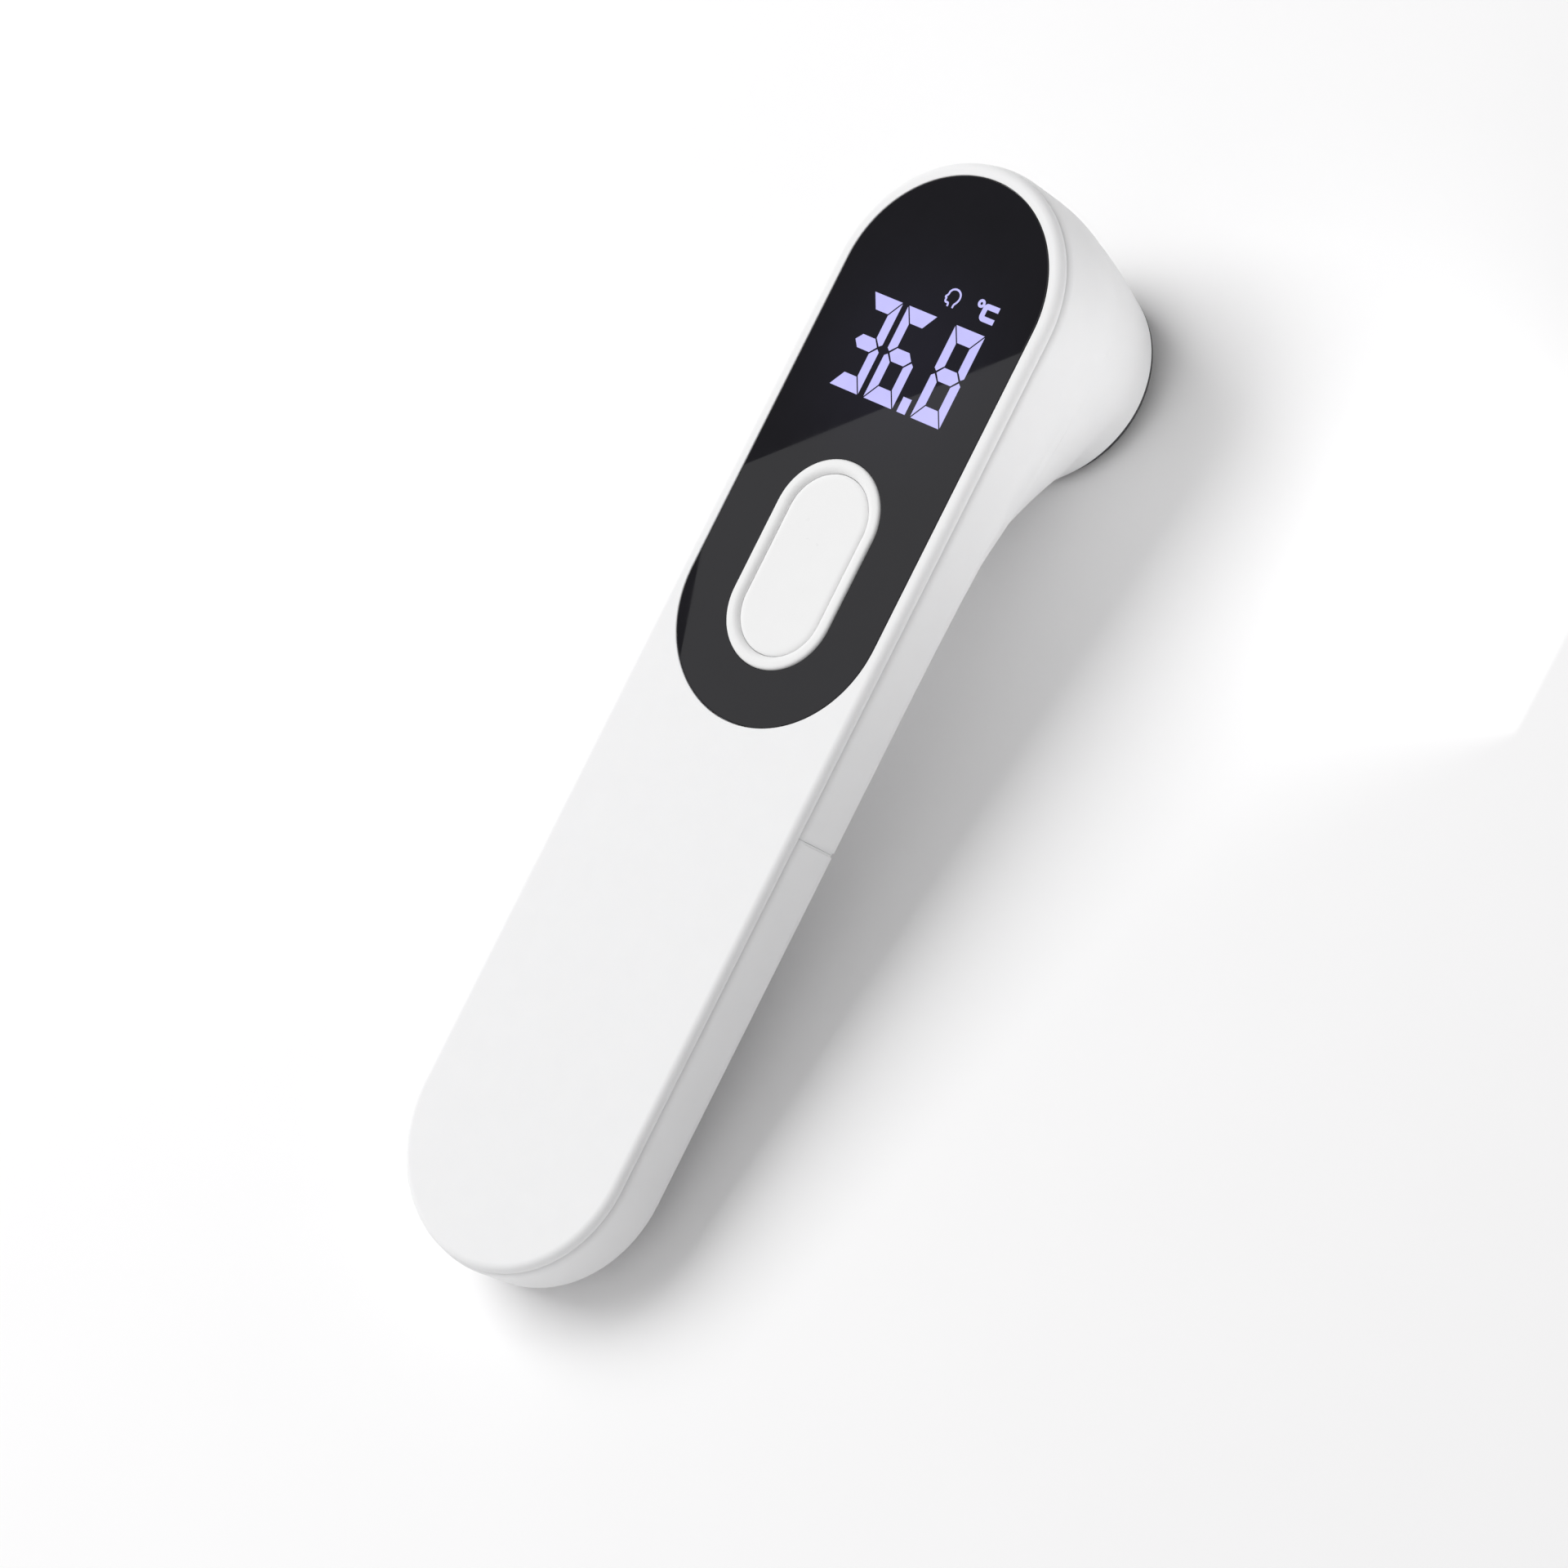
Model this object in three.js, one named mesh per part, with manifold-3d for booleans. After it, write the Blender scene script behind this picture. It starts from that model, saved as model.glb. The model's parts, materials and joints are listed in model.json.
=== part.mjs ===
// Slim forehead thermometer lying on its back: display up, snout rim and tail edge on the table.
// Millimetres. While it is built, X is the width, Y runs to the head and Z is the display face's outward
// normal, with the face at Z = 0. The finished group is tilted so that it rests on Z = 0.
import * as THREE from "three";
import * as BufferGeometryUtils from "three/addons/utils/BufferGeometryUtils.js";
import Module from "manifold-3d";

// Casing
const CASE_R = 19.0; // half width, and radius of both round ends
const HEAD_Y = 23.1; // centre of the head's round end
const TAIL_Y = -100.3; // centre of the tail's round end
const FACE_R = 18.65; // half width of the front shell, a little inside the rear shell's sides
const EDGE_R = 1.3; // rounding between the face and its rim
const WALL = 1.5;
const GAP = 0.3; // between neighbouring pieces
const PARTING_Z = -1.3; // lower edge of the front shell's rim
const TONGUE_Z = [-0.9, -2.8]; // step of the front shell that locates in the rear shell
const FRAME_Z = -3.3; // lower edge of the rear shell's inner frame around the battery bay
const FRAME_R = 15.2; // inside of that frame
const SEAM_Y = -49.2; // edge between the rear shell and the battery cover
const PLATE_Y = -106.6; // head end of the plate that holds the tail screw
const PLATE_Z = -5.0;
// Rounded upper edge of the sides, and their lower edge towards the flat back, as [inset, z]
const SHOULDER = [[0.4, PARTING_Z - GAP], [0.12, -1.9], [0, -2.4]];
const BACK = [[0, -8.5], [0.2, -9.3], [0.7, -10.05], [1.7, -11.1], [3.5, -12.5], [6.0, -13.7], [9.0, -14.4]];
// Snout
const SNOUT_Y = 22.9;
const SNOUT_DEPTH = 31.5;
const RIM_R = 14.93;
// Radius of its round side by depth below the face
const SNOUT_R = [[9.0, 19.0], [11.6, 18.86], [13.2, 18.67], [14.4, 18.5], [17.0, 18.18], [19.8, 17.66],
  [22.3, 17.14], [24.8, 16.59], [27.2, 15.95], [29.4, 15.33], [SNOUT_DEPTH, RIM_R]];
const RIM_HEIGHT = 1.1; // of the dark ring under the snout
const HORN_R = 106.0; // hollow curve from the handle's back to the rim
const HORN_DEPTH = 14.4; // where that curve leaves the back
const HORN_LENGTH = 53; // length of the handle over which the sides widen into the snout
const STRAIGHT_LENGTH = 70; // the rest of the handle's straight sides
// Window and button
const WINDOW_R = 16.52;
const WINDOW_HALF = 23.09; // half distance between the window's two round ends
const WINDOW_Z = [-1.0, -0.05];
const SEAT_Z = -1.3;
const DISPLAY_X = 12.4; // half width of the display film and its housing
const DISPLAY_Y = [4.6, 27.2];
const DISPLAY_Z = [-1.6, -1.3];
const DIGITS_X = [-7.2, -1.0, 7.4]; // light wells of the digits
const KEY_Y = -16.8;
const RING_R = 8.53;
const RING_HALF = 6.46;
const KEY_R = 6.37;
const KEY_HALF = 6.38;
const KEY_Z = [-4.6, -3.8]; // flange that keeps the key in
const KEY_FLANGE_R = 7.7;
// Board
const BOARD_TOP = -8.1;
const BOARD_BOTTOM = -9.3;
const BOARD_SCREWS = [[-11.6, 0.5], [11.6, 0.5], [-11.6, -41.5], [11.6, -41.5]];
// Battery bay
const CELL_R = 5.2;
const CELL_X = 5.55;
const CELL_Z = -7.6;
const CELL_LENGTH = 44.5;
const BAY_HEAD_Y = -52.6;
const BAY_TAIL_Y = -103.6;
const TAIL_SCREW_Y = -111.0;
const LEAD_X = 9.0;
const SEGMENTS = 18; // per half turn, even
const SIDE_STEPS = 9; // along the snout's hollow curve
const TAIL_STEPS = 3; // along the rest of the handle

const wasm = await Module();
wasm.setup();

function solid(geometry) {
  const g = geometry.clone();
  g.deleteAttribute("normal");
  g.deleteAttribute("uv");
  const merged = BufferGeometryUtils.mergeVertices(g, 1e-5);
  const mesh = new wasm.Mesh({
    numProp: 3,
    vertProperties: new Float32Array(merged.attributes.position.array),
    triVerts: new Uint32Array(merged.index.array),
  });
  return new wasm.Manifold(mesh);
}

function geometryOf(manifold) {
  const m = manifold.getMesh();
  const g = new THREE.BufferGeometry();
  g.setAttribute("position", new THREE.BufferAttribute(new Float32Array(m.vertProperties), 3));
  g.setIndex(new THREE.BufferAttribute(new Uint32Array(m.triVerts), 1));
  return g;
}

// Closed solid through rings of equally many points, listed from the highest to the lowest.
function loft(rings) {
  const n = rings[0].length;
  const position = [];
  const index = [];
  for (const ring of rings) {
    for (const p of ring) position.push(p[0], p[1], p[2]);
  }
  for (let k = 0; k + 1 < rings.length; k++) {
    for (let i = 0; i < n; i++) {
      const j = (i + 1) % n;
      const a = k * n + i;
      const b = k * n + j;
      index.push(a, a + n, b, b, a + n, b + n);
    }
  }
  const ends = [[0, true], [rings.length - 1, false]];
  for (const [k, top] of ends) {
    const centre = [0, 0, 0];
    for (const p of rings[k]) for (let c = 0; c < 3; c++) centre[c] += p[c] / n;
    const hub = position.length / 3;
    position.push(centre[0], centre[1], centre[2]);
    for (let i = 0; i < n; i++) {
      const j = (i + 1) % n;
      if (top) index.push(hub, k * n + i, k * n + j);
      else index.push(hub, k * n + j, k * n + i);
    }
  }
  const g = new THREE.BufferGeometry();
  g.setAttribute("position", new THREE.BufferAttribute(new Float32Array(position), 3));
  g.setIndex(index);
  return solid(g);
}

// Outline of two half circles joined by straight sides, anticlockwise seen from above.
function stadium(r, tailY, headY, z, segments = SEGMENTS) {
  const ring = [];
  for (let i = 0; i <= segments; i++) {
    const a = (Math.PI * i) / segments;
    ring.push([r * Math.cos(a), headY + r * Math.sin(a), z]);
  }
  for (let i = 0; i <= segments; i++) {
    const a = Math.PI + (Math.PI * i) / segments;
    ring.push([r * Math.cos(a), tailY + r * Math.sin(a), z]);
  }
  return ring;
}

function capsule(r, centreY, half, z0, z1, segments = SEGMENTS) {
  const rings = [z1, z0].map((z) => stadium(r, centreY - half, centreY + half, z, segments));
  return loft(rings);
}

function block(x0, x1, y0, y1, z0, z1) {
  const g = new THREE.BoxGeometry(x1 - x0, y1 - y0, z1 - z0);
  g.translate((x0 + x1) / 2, (y0 + y1) / 2, (z0 + z1) / 2);
  return solid(g);
}

function rod(x, y, r, z0, z1, segments = 24) {
  const g = new THREE.CylinderGeometry(r, r, z1 - z0, segments);
  g.rotateX(Math.PI / 2);
  g.translate(x, y, (z0 + z1) / 2);
  return solid(g);
}

// Turned piece about a line parallel to Z: profile of [radius, z], from bottom to top along the outside.
function turned(x, y, profile, segments = 40) {
  const g = new THREE.LatheGeometry(profile.map((p) => new THREE.Vector2(p[0], p[1])), segments);
  g.rotateX(Math.PI / 2);
  g.translate(x, y, 0);
  return solid(g);
}

function table(pairs, x) {
  for (let i = 1; i < pairs.length; i++) {
    if (x <= pairs[i][0]) {
      const [a, b] = [pairs[i - 1], pairs[i]];
      const t = Math.max(0, (x - a[0]) / (b[0] - a[0]));
      return a[1] + t * (b[1] - a[1]);
    }
  }
  return pairs[pairs.length - 1][1];
}

// How far towards the tail the snout reaches from its axis at a depth.
function hornReach(depth) {
  const rimY = SNOUT_Y - RIM_R;
  const rise = 1 - (SNOUT_DEPTH - HORN_DEPTH) / HORN_R;
  const full = Math.sqrt(1 - rise * rise);
  const level = 1 - Math.max(0, depth - HORN_DEPTH) / HORN_R;
  const here = Math.sqrt(1 - level * level);
  return SNOUT_Y - (rimY - HORN_R * (full - here));
}

// Roundness of the snout's tail side: almost pointed at the handle, circular at the rim.
function hornPower(depth) {
  const late = Math.min(1, Math.max(0, (depth - 26) / (SNOUT_DEPTH - 26)));
  return 1.55 + 0.45 * late * late;
}

// Half width of the snout on its tail side, at a distance from its axis towards the tail.
function hornWidth(depth, r, along, reach) {
  const power = hornPower(depth);
  const t = Math.min(1, Math.max(0, along / reach));
  return r * Math.pow(1 - Math.pow(t, power), 1 / power);
}

// Places along the handle's straight side, from the head to the tail.
function sideStations() {
  const stations = [];
  for (let j = 1; j <= SIDE_STEPS; j++) stations.push(HEAD_Y - (HORN_LENGTH * j) / SIDE_STEPS);
  for (let j = 1; j <= TAIL_STEPS; j++) {
    stations.push(HEAD_Y - HORN_LENGTH - (STRAIGHT_LENGTH * j) / (TAIL_STEPS + 0.4));
  }
  return stations;
}

// Outline with its own radius at each end and its own half width at each station of the sides.
function handleRing(rHead, rTail, widths, z) {
  const stations = sideStations();
  const ring = [];
  for (let i = 0; i <= SEGMENTS; i++) {
    const a = (Math.PI * i) / SEGMENTS;
    ring.push([rHead * Math.cos(a), HEAD_Y + rHead * Math.sin(a), z]);
  }
  stations.forEach((y, j) => ring.push([-widths[j], y, z]));
  for (let i = 0; i <= SEGMENTS; i++) {
    const a = Math.PI + (Math.PI * i) / SEGMENTS;
    ring.push([rTail * Math.cos(a), TAIL_Y + rTail * Math.sin(a), z]);
  }
  for (let j = stations.length - 1; j >= 0; j--) ring.push([widths[j], stations[j], z]);
  return ring;
}

function straightRing(r, z) {
  return handleRing(r, r, sideStations().map(() => r), z);
}

// Outline of the casing's back at one row of BACK, widening towards the head to meet the snout.
function backRing(inset, z, shrink) {
  const depth = -z;
  const rTail = CASE_R - inset - shrink;
  const rHead = table(SNOUT_R, depth) - shrink;
  const flat = CASE_R - BACK[BACK.length - 1][0];
  const full = table(SNOUT_R, HORN_DEPTH);
  const late = Math.max(0, (depth - 12.5) / (HORN_DEPTH - 12.5));
  const widths = sideStations().map((y) => {
    const horn = hornWidth(HORN_DEPTH, full, SNOUT_Y - y, hornReach(HORN_DEPTH));
    const share = Math.pow(Math.max(0, (horn - flat) / (full - flat)), 2 - late);
    return rTail + (rHead - rTail) * share;
  });
  return handleRing(rHead, rTail, widths, z + shrink);
}

// Outline of the snout at a depth, with as many points as backRing.
function snoutRing(depth, shrink, z) {
  const r = table(SNOUT_R, depth) - shrink;
  const reach = hornReach(depth) - 1.6 * shrink;
  const first = Math.max(0, 1 - (depth - HORN_DEPTH) / 4);
  const share = (first * HORN_LENGTH) / hornReach(depth) + (1 - first) * 0.8;
  const right = [];
  for (let j = 1; j <= SIDE_STEPS; j++) {
    const along = (share * reach * j) / SIDE_STEPS;
    right.push([hornWidth(depth, r, along, reach), SNOUT_Y - along]);
  }
  const edge = right[SIDE_STEPS - 1][0];
  const rest = TAIL_STEPS + (SEGMENTS + 1) / 2;
  const power = hornPower(depth);
  for (let j = 1; j < rest; j++) {
    const x = edge * Math.cos((Math.PI / 2) * (j / rest));
    right.push([x, SNOUT_Y - reach * Math.pow(1 - Math.pow(x / r, power), 1 / power)]);
  }
  const ring = [];
  for (let i = 0; i <= SEGMENTS; i++) {
    const a = (Math.PI * i) / SEGMENTS;
    ring.push([r * Math.cos(a), SNOUT_Y + r * Math.sin(a), z]);
  }
  for (const [x, y] of right) ring.push([-x, y, z]);
  ring.push([0, SNOUT_Y - reach, z]);
  for (const [x, y] of right.reverse()) ring.push([x, y, z]);
  return ring;
}

// Outside of the casing, or its inside when shrink is the wall thickness.
function casing(shrink) {
  const rings = shrink > 0 ? [straightRing(CASE_R - shrink, 0.5)]
    : SHOULDER.map(([inset, z]) => straightRing(CASE_R - inset, z));
  for (const [inset, z] of BACK) rings.push(backRing(inset, z, shrink));
  const levels = [HORN_DEPTH + 0.05, ...SNOUT_R.map(([depth]) => depth).filter((d) => d > HORN_DEPTH + 1)];
  const end = shrink > 0 ? -SNOUT_DEPTH - 1 : -SNOUT_DEPTH + RIM_HEIGHT;
  for (const depth of levels) {
    rings.push(snoutRing(depth, shrink, depth === SNOUT_DEPTH ? end : shrink - depth));
  }
  return loft(rings);
}

const bay = block(-30, 30, TAIL_Y - 40, SEAM_Y, -40, 1);
const hollow = casing(WALL);
const skin = casing(0);

function frontShell() {
  const rings = [];
  for (let i = 0; i <= 5; i++) {
    const a = (Math.PI / 2) * (i / 5);
    rings.push(stadium(FACE_R - EDGE_R * (1 - Math.sin(a)), TAIL_Y, HEAD_Y, -EDGE_R * (1 - Math.cos(a))));
  }
  const tongueR = CASE_R - WALL - GAP;
  let body = loft(rings);
  const tongue = loft(TONGUE_Z.map((z) => stadium(tongueR, TAIL_Y, HEAD_Y, z)));
  body = body.add(tongue.intersect(block(-30, 30, SEAM_Y + 3.2, 60, -5, 5)));
  body = body.subtract(capsule(WINDOW_R + GAP, 0, WINDOW_HALF, SEAT_Z, 1));
  const [bottomY, topY] = DISPLAY_Y;
  body = body.subtract(block(-DISPLAY_X - 0.4, DISPLAY_X + 0.4, bottomY - 0.4, topY + 0.4, -4, 1));
  body = body.subtract(capsule(RING_R + GAP, KEY_Y, RING_HALF, -4, 1));
  for (const [x, y] of BOARD_SCREWS) {
    body = body.add(rod(x, y, 2.1, BOARD_TOP + GAP, -2.5));
    body = body.subtract(rod(x, y, 1.25, BOARD_TOP, -4.0));
  }
  body = body.add(rod(0, TAIL_SCREW_Y, 2.6, -3.2, -1.1));
  return body.subtract(rod(0, TAIL_SCREW_Y, 1.25, -4, -0.8));
}

// Back of the head and snout, with a frame round the battery bay, a wall before it and the screw plate.
function rearShell() {
  let body = skin.subtract(hollow).subtract(bay);
  const frame = [PARTING_Z - GAP, FRAME_Z].map((z) => stadium(CASE_R - WALL - GAP, TAIL_Y, HEAD_Y, z));
  const inside = [1, -6].map((z) => stadium(FRAME_R, TAIL_Y + 0.5, HEAD_Y, z));
  const frameZone = block(-30, 30, TAIL_Y - 40, SEAM_Y + 2, -9, 9);
  body = body.add(loft(frame).subtract(loft(inside)).intersect(frameZone));
  const plate = [PARTING_Z - GAP, PLATE_Z].map((z) => stadium(16.6, TAIL_Y, HEAD_Y, z));
  body = body.add(loft(plate).intersect(block(-30, 30, TAIL_Y - 40, PLATE_Y, -9, 9)));
  body = body.subtract(rod(0, TAIL_SCREW_Y, 2.9, -3.5, 0)).subtract(rod(0, TAIL_SCREW_Y, 1.4, -8, 0));
  const bulkhead = block(-18.2, 18.2, SEAM_Y + 0.8, SEAM_Y + 2.0, -13.6, -3.0);
  body = body.add(bulkhead.intersect(skin));
  for (const x of [-LEAD_X, LEAD_X]) {
    const hole = new THREE.CylinderGeometry(1.0, 1.0, 8, 16);
    hole.translate(x, SEAM_Y + 1.4, -10.8);
    body = body.subtract(solid(hole));
  }
  return body;
}

function batteryCover() {
  const cavity = hollow.add(block(-30, 30, SEAM_Y - 1, SEAM_Y + 30, -40, 1));
  let body = skin.subtract(cavity).intersect(block(-30, 30, TAIL_Y - 40, SEAM_Y - GAP, -40, 1));
  for (let i = 0; i < 5; i++) {
    const rib = new THREE.CapsuleGeometry(0.55, 13 - 1.6 * i, 4, 10);
    rib.rotateZ(Math.PI / 2);
    rib.translate(0, SEAM_Y - 11 - 2.6 * i, -14.4);
    body = body.add(solid(rib));
  }
  return body;
}

function buttonRing() {
  const outer = [];
  for (let i = 0; i <= 4; i++) {
    const a = (Math.PI / 2) * (i / 4);
    const r = RING_R - 0.5 * (1 - Math.sin(a));
    outer.push(stadium(r, KEY_Y - RING_HALF, KEY_Y + RING_HALF, 0.35 - 0.5 * (1 - Math.cos(a))));
  }
  outer.push(stadium(RING_R, KEY_Y - RING_HALF, KEY_Y + RING_HALF, -3.4));
  const inner = [[7.35, 0.6], [7.1, 0.2], [6.8, -0.25], [6.68, -0.7], [6.68, -4]];
  const hole = loft(inner.map(([r, z]) => stadium(r, KEY_Y - RING_HALF, KEY_Y + RING_HALF, z)));
  return loft(outer).subtract(hole);
}

function measureButton() {
  const profile = [[KEY_R - 2.5, -0.34], [KEY_R - 0.7, -0.18], [KEY_R - 0.25, -0.24], [KEY_R, -0.5],
    [KEY_R, KEY_Z[1]], [KEY_FLANGE_R, KEY_Z[1]], [KEY_FLANGE_R, KEY_Z[0]]];
  return loft(profile.map(([r, z]) => stadium(r, KEY_Y - KEY_HALF, KEY_Y + KEY_HALF, z)));
}

function displayHousing() {
  let body = block(-DISPLAY_X, DISPLAY_X, ...DISPLAY_Y, BOARD_TOP + GAP, DISPLAY_Z[0] - GAP);
  for (const x of DIGITS_X) body = body.subtract(block(x - 2.75, x + 2.75, 6.2, 20.4, -6.8, 0));
  return body.subtract(block(-4, 11, 21.6, 25.6, -6.8, 0));
}

function mainBoard() {
  let body = loft([BOARD_TOP, BOARD_BOTTOM].map((z) => stadium(15.4, TAIL_Y, HEAD_Y - 2, z)));
  body = body.intersect(block(-30, 30, SEAM_Y + 3.4, 60, -20, 0));
  for (const [x, y] of BOARD_SCREWS) body = body.subtract(rod(x, y, 1.5, -20, 0));
  return body;
}

function screw(x, y, headZ, tipZ) {
  const profile = [[0, headZ - 1.3], [1.7, headZ - 1.3], [2.3, headZ - 0.9], [2.3, headZ], [1.1, headZ],
    [1.1, tipZ], [0, tipZ]];
  const slot = block(x - 1.3, x + 1.3, y - 0.3, y + 0.3, headZ - 2, headZ - 0.7);
  const cross = block(x - 0.3, x + 0.3, y - 1.3, y + 1.3, headZ - 2, headZ - 0.7);
  return turned(x, y, profile, 24).subtract(slot).subtract(cross);
}

// One dry cell along Y with its nub at nubY, lying towards side (+1 head, -1 tail) of it.
function cell(x, nubY, side) {
  const body = [[0, 0], [1.9, 0], [1.9, 0.9], [CELL_R - 0.5, 0.9], [CELL_R, 1.4], [CELL_R, CELL_LENGTH - 0.4],
    [CELL_R - 0.4, CELL_LENGTH], [0, CELL_LENGTH]];
  const g = new THREE.LatheGeometry(body.map((p) => new THREE.Vector2(p[0], p[1])), 36);
  if (side < 0) g.rotateX(Math.PI);
  g.translate(x, nubY, CELL_Z);
  return solid(g);
}

// Round wire or insulated lead along a curve.
function wireAlong(curve, radius, steps, curveSegments) {
  const section = new THREE.Shape().absarc(0, 0, radius, 0, 2 * Math.PI);
  return solid(new THREE.ExtrudeGeometry(section, {
    steps,
    curveSegments,
    extrudePath: curve,
    bevelEnabled: false,
  }));
}

function spring(x, y0, y1) {
  const path = [];
  const turns = 4.5;
  for (let i = 0; i <= 90; i++) {
    const t = i / 90;
    const a = 2 * Math.PI * turns * t;
    const r = 3.4 - 1.1 * t;
    path.push(new THREE.Vector3(x + r * Math.cos(a), y0 + (y1 - y0) * t, CELL_Z + r * Math.sin(a)));
  }
  return wireAlong(new THREE.CatmullRomCurve3(path), 0.25, 72, 3);
}

function lead(points) {
  const route = points.map((p) => new THREE.Vector3(p[0], p[1], p[2]));
  return wireAlong(new THREE.CatmullRomCurve3(route), 0.55, 14, 6);
}

function batteryTray() {
  let body = block(-12.6, 12.6, BAY_TAIL_Y - 1.6, BAY_HEAD_Y + 1.6, -10.6, -3.6);
  body = body.subtract(block(-11.2, 11.2, BAY_TAIL_Y - 0.3, BAY_HEAD_Y + 0.3, -20, 0));
  return body;
}

const COLOURS = {
  shell: { color: 0xf3f3f3, roughness: 0.45 },
  panel: { color: 0x1d1d22, roughness: 0.06 },
  key: { color: 0xeeeeee, roughness: 0.4 },
  mask: { color: 0x2a2832, roughness: 0.5 },
  board: { color: 0x1f6b3a, roughness: 0.5 },
  dark: { color: 0x1a1a1c, roughness: 0.6 },
  metal: { color: 0xc9c9cc, roughness: 0.3, metalness: 1.0 },
  gold: { color: 0xd6b25e, roughness: 0.3, metalness: 1.0 },
  wrap: { color: 0x2c5fa8, roughness: 0.4 },
  red: { color: 0xb02020, roughness: 0.5 },
  black: { color: 0x151515, roughness: 0.5 },
};

const pieces = [];
function piece(name, manifold, look) {
  pieces.push({ name, manifold, look });
}

piece("front_shell", frontShell(), "shell");
piece("rear_shell", rearShell(), "shell");
piece("battery_cover", batteryCover(), "shell");
const windowPlate = capsule(WINDOW_R, 0, WINDOW_HALF, ...WINDOW_Z);
piece("display_window", windowPlate.subtract(capsule(RING_R + 0.25, KEY_Y, RING_HALF, -4, 1)), "panel");
piece("display_mask", block(-DISPLAY_X, DISPLAY_X, ...DISPLAY_Y, ...DISPLAY_Z), "mask");
piece("display_housing", displayHousing(), "shell");
piece("button_ring", buttonRing(), "key");
piece("measure_button", measureButton(), "key");
piece("switch_plunger", rod(0, KEY_Y, 1.5, -6.5, -4.9), "dark");
const switchBody = block(-3.1, 3.1, KEY_Y - 3.1, KEY_Y + 3.1, BOARD_TOP + GAP, -5.6);
piece("switch_body", switchBody.subtract(rod(0, KEY_Y, 1.65, -7.3, -5)), "metal");
piece("main_board", mainBoard(), "board");
piece("controller_chip", block(-4.5, 4.5, -34, -25, -11.0, BOARD_BOTTOM - GAP), "dark");
piece("memory_chip", block(7, 11, -30, -25, -10.8, BOARD_BOTTOM - GAP), "dark");
piece("buzzer", rod(0, -8, 4.6, -12.2, BOARD_BOTTOM - GAP, 32), "dark");
piece("power_inductor", block(-11.5, -7.5, -21, -17, -11.6, BOARD_BOTTOM - GAP), "dark");
const holder = [[5.0, -20.4], [6.6, -20.4], [6.6, -13.2], [8.4, -13.2], [8.4, -12.0], [5.0, -12.0],
  [5.0, -20.4]];
piece("sensor_holder", turned(0, SNOUT_Y, holder), "dark");
const can = [[0, -18.4], [4.0, -18.4], [4.2, -18.2], [4.2, -14.6], [4.6, -14.6], [4.6, -14.0], [0, -14.0]];
piece("sensor_can", turned(0, SNOUT_Y, can, 32), "gold");
piece("sensor_filter", rod(0, SNOUT_Y, 2.4, -19.1, -18.7), "dark");
piece("sensor_board", rod(0, SNOUT_Y, 6.4, -11.7, -10.7, 32), "board");
const cup = [[5.2, -20.7], [11.9, -30.3], [12.8, -30.3], [6.3, -20.7], [5.2, -20.7]];
piece("reflector_cup", turned(0, SNOUT_Y, cup, 48), "metal");
const rim = [[12.3, -SNOUT_DEPTH], [RIM_R, -SNOUT_DEPTH], [15.02, -30.8], [14.6, -30.7], [12.3, -30.7],
  [12.3, -SNOUT_DEPTH]];
piece("rim_ring", turned(0, SNOUT_Y, rim, 48), "dark");
piece("battery_tray", batteryTray(), "key");
piece("cell_left", cell(-CELL_X, BAY_HEAD_Y - GAP, -1), "wrap");
piece("cell_right", cell(CELL_X, BAY_TAIL_Y + GAP, 1), "wrap");
const leftEnd = BAY_HEAD_Y - GAP - CELL_LENGTH;
const rightEnd = BAY_TAIL_Y + GAP + CELL_LENGTH;
piece("spring_left", spring(-CELL_X, BAY_TAIL_Y + 0.6, leftEnd - 0.6), "metal");
piece("spring_right", spring(CELL_X, BAY_HEAD_Y - 0.6, rightEnd + 0.6), "metal");
piece("contact_tail", block(-10.4, 10.4, BAY_TAIL_Y, BAY_TAIL_Y + 0.25, -11.6, -4), "metal");
piece("contact_head_left", block(-10.2, -1.2, BAY_HEAD_Y - 0.25, BAY_HEAD_Y, -11.6, -4), "metal");
piece("contact_head_right", block(1.2, 10.2, BAY_HEAD_Y - 0.25, BAY_HEAD_Y, -11.6, -4), "metal");
for (const [name, x, look] of [["lead_positive", -LEAD_X, "red"], ["lead_negative", LEAD_X, "black"]]) {
  piece(name, lead([[x, -50.6, -10.8], [x, -47, -10.9], [x, -44.8, -10.6], [x, -42.5, -10.3]]), look);
}
BOARD_SCREWS.forEach(([x, y], i) => {
  piece(`board_screw_${i + 1}`, screw(x, y, BOARD_BOTTOM - GAP, -4.6), "metal");
});
piece("tail_screw", screw(0, TAIL_SCREW_Y, -5.3, -1.6), "metal");

// Rest pose: the lowest line under the rim and the tail becomes horizontal.
const rimY = SNOUT_Y - RIM_R;
const slopes = BACK.map(([inset, z]) => (z + SNOUT_DEPTH) / (rimY - (TAIL_Y - CASE_R + inset)));
const tilt = Math.atan(Math.min(...slopes));
const group = new THREE.Group();
for (const { name, manifold, look } of pieces) {
  const mesh = new THREE.Mesh(geometryOf(manifold), new THREE.MeshStandardMaterial(COLOURS[look]));
  mesh.name = name;
  mesh.geometry.rotateX(tilt);
  group.add(mesh);
}
const bounds = new THREE.Box3().setFromObject(group);
const middle = bounds.getCenter(new THREE.Vector3());
for (const mesh of group.children) {
  mesh.geometry.translate(-middle.x, -middle.y, -bounds.min.z);
  mesh.geometry.computeVertexNormals();
}
group.name = "forehead_thermometer";

export default group;
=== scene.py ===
import json
import math

import bmesh
import bpy
from mathutils import Matrix, Vector


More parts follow.
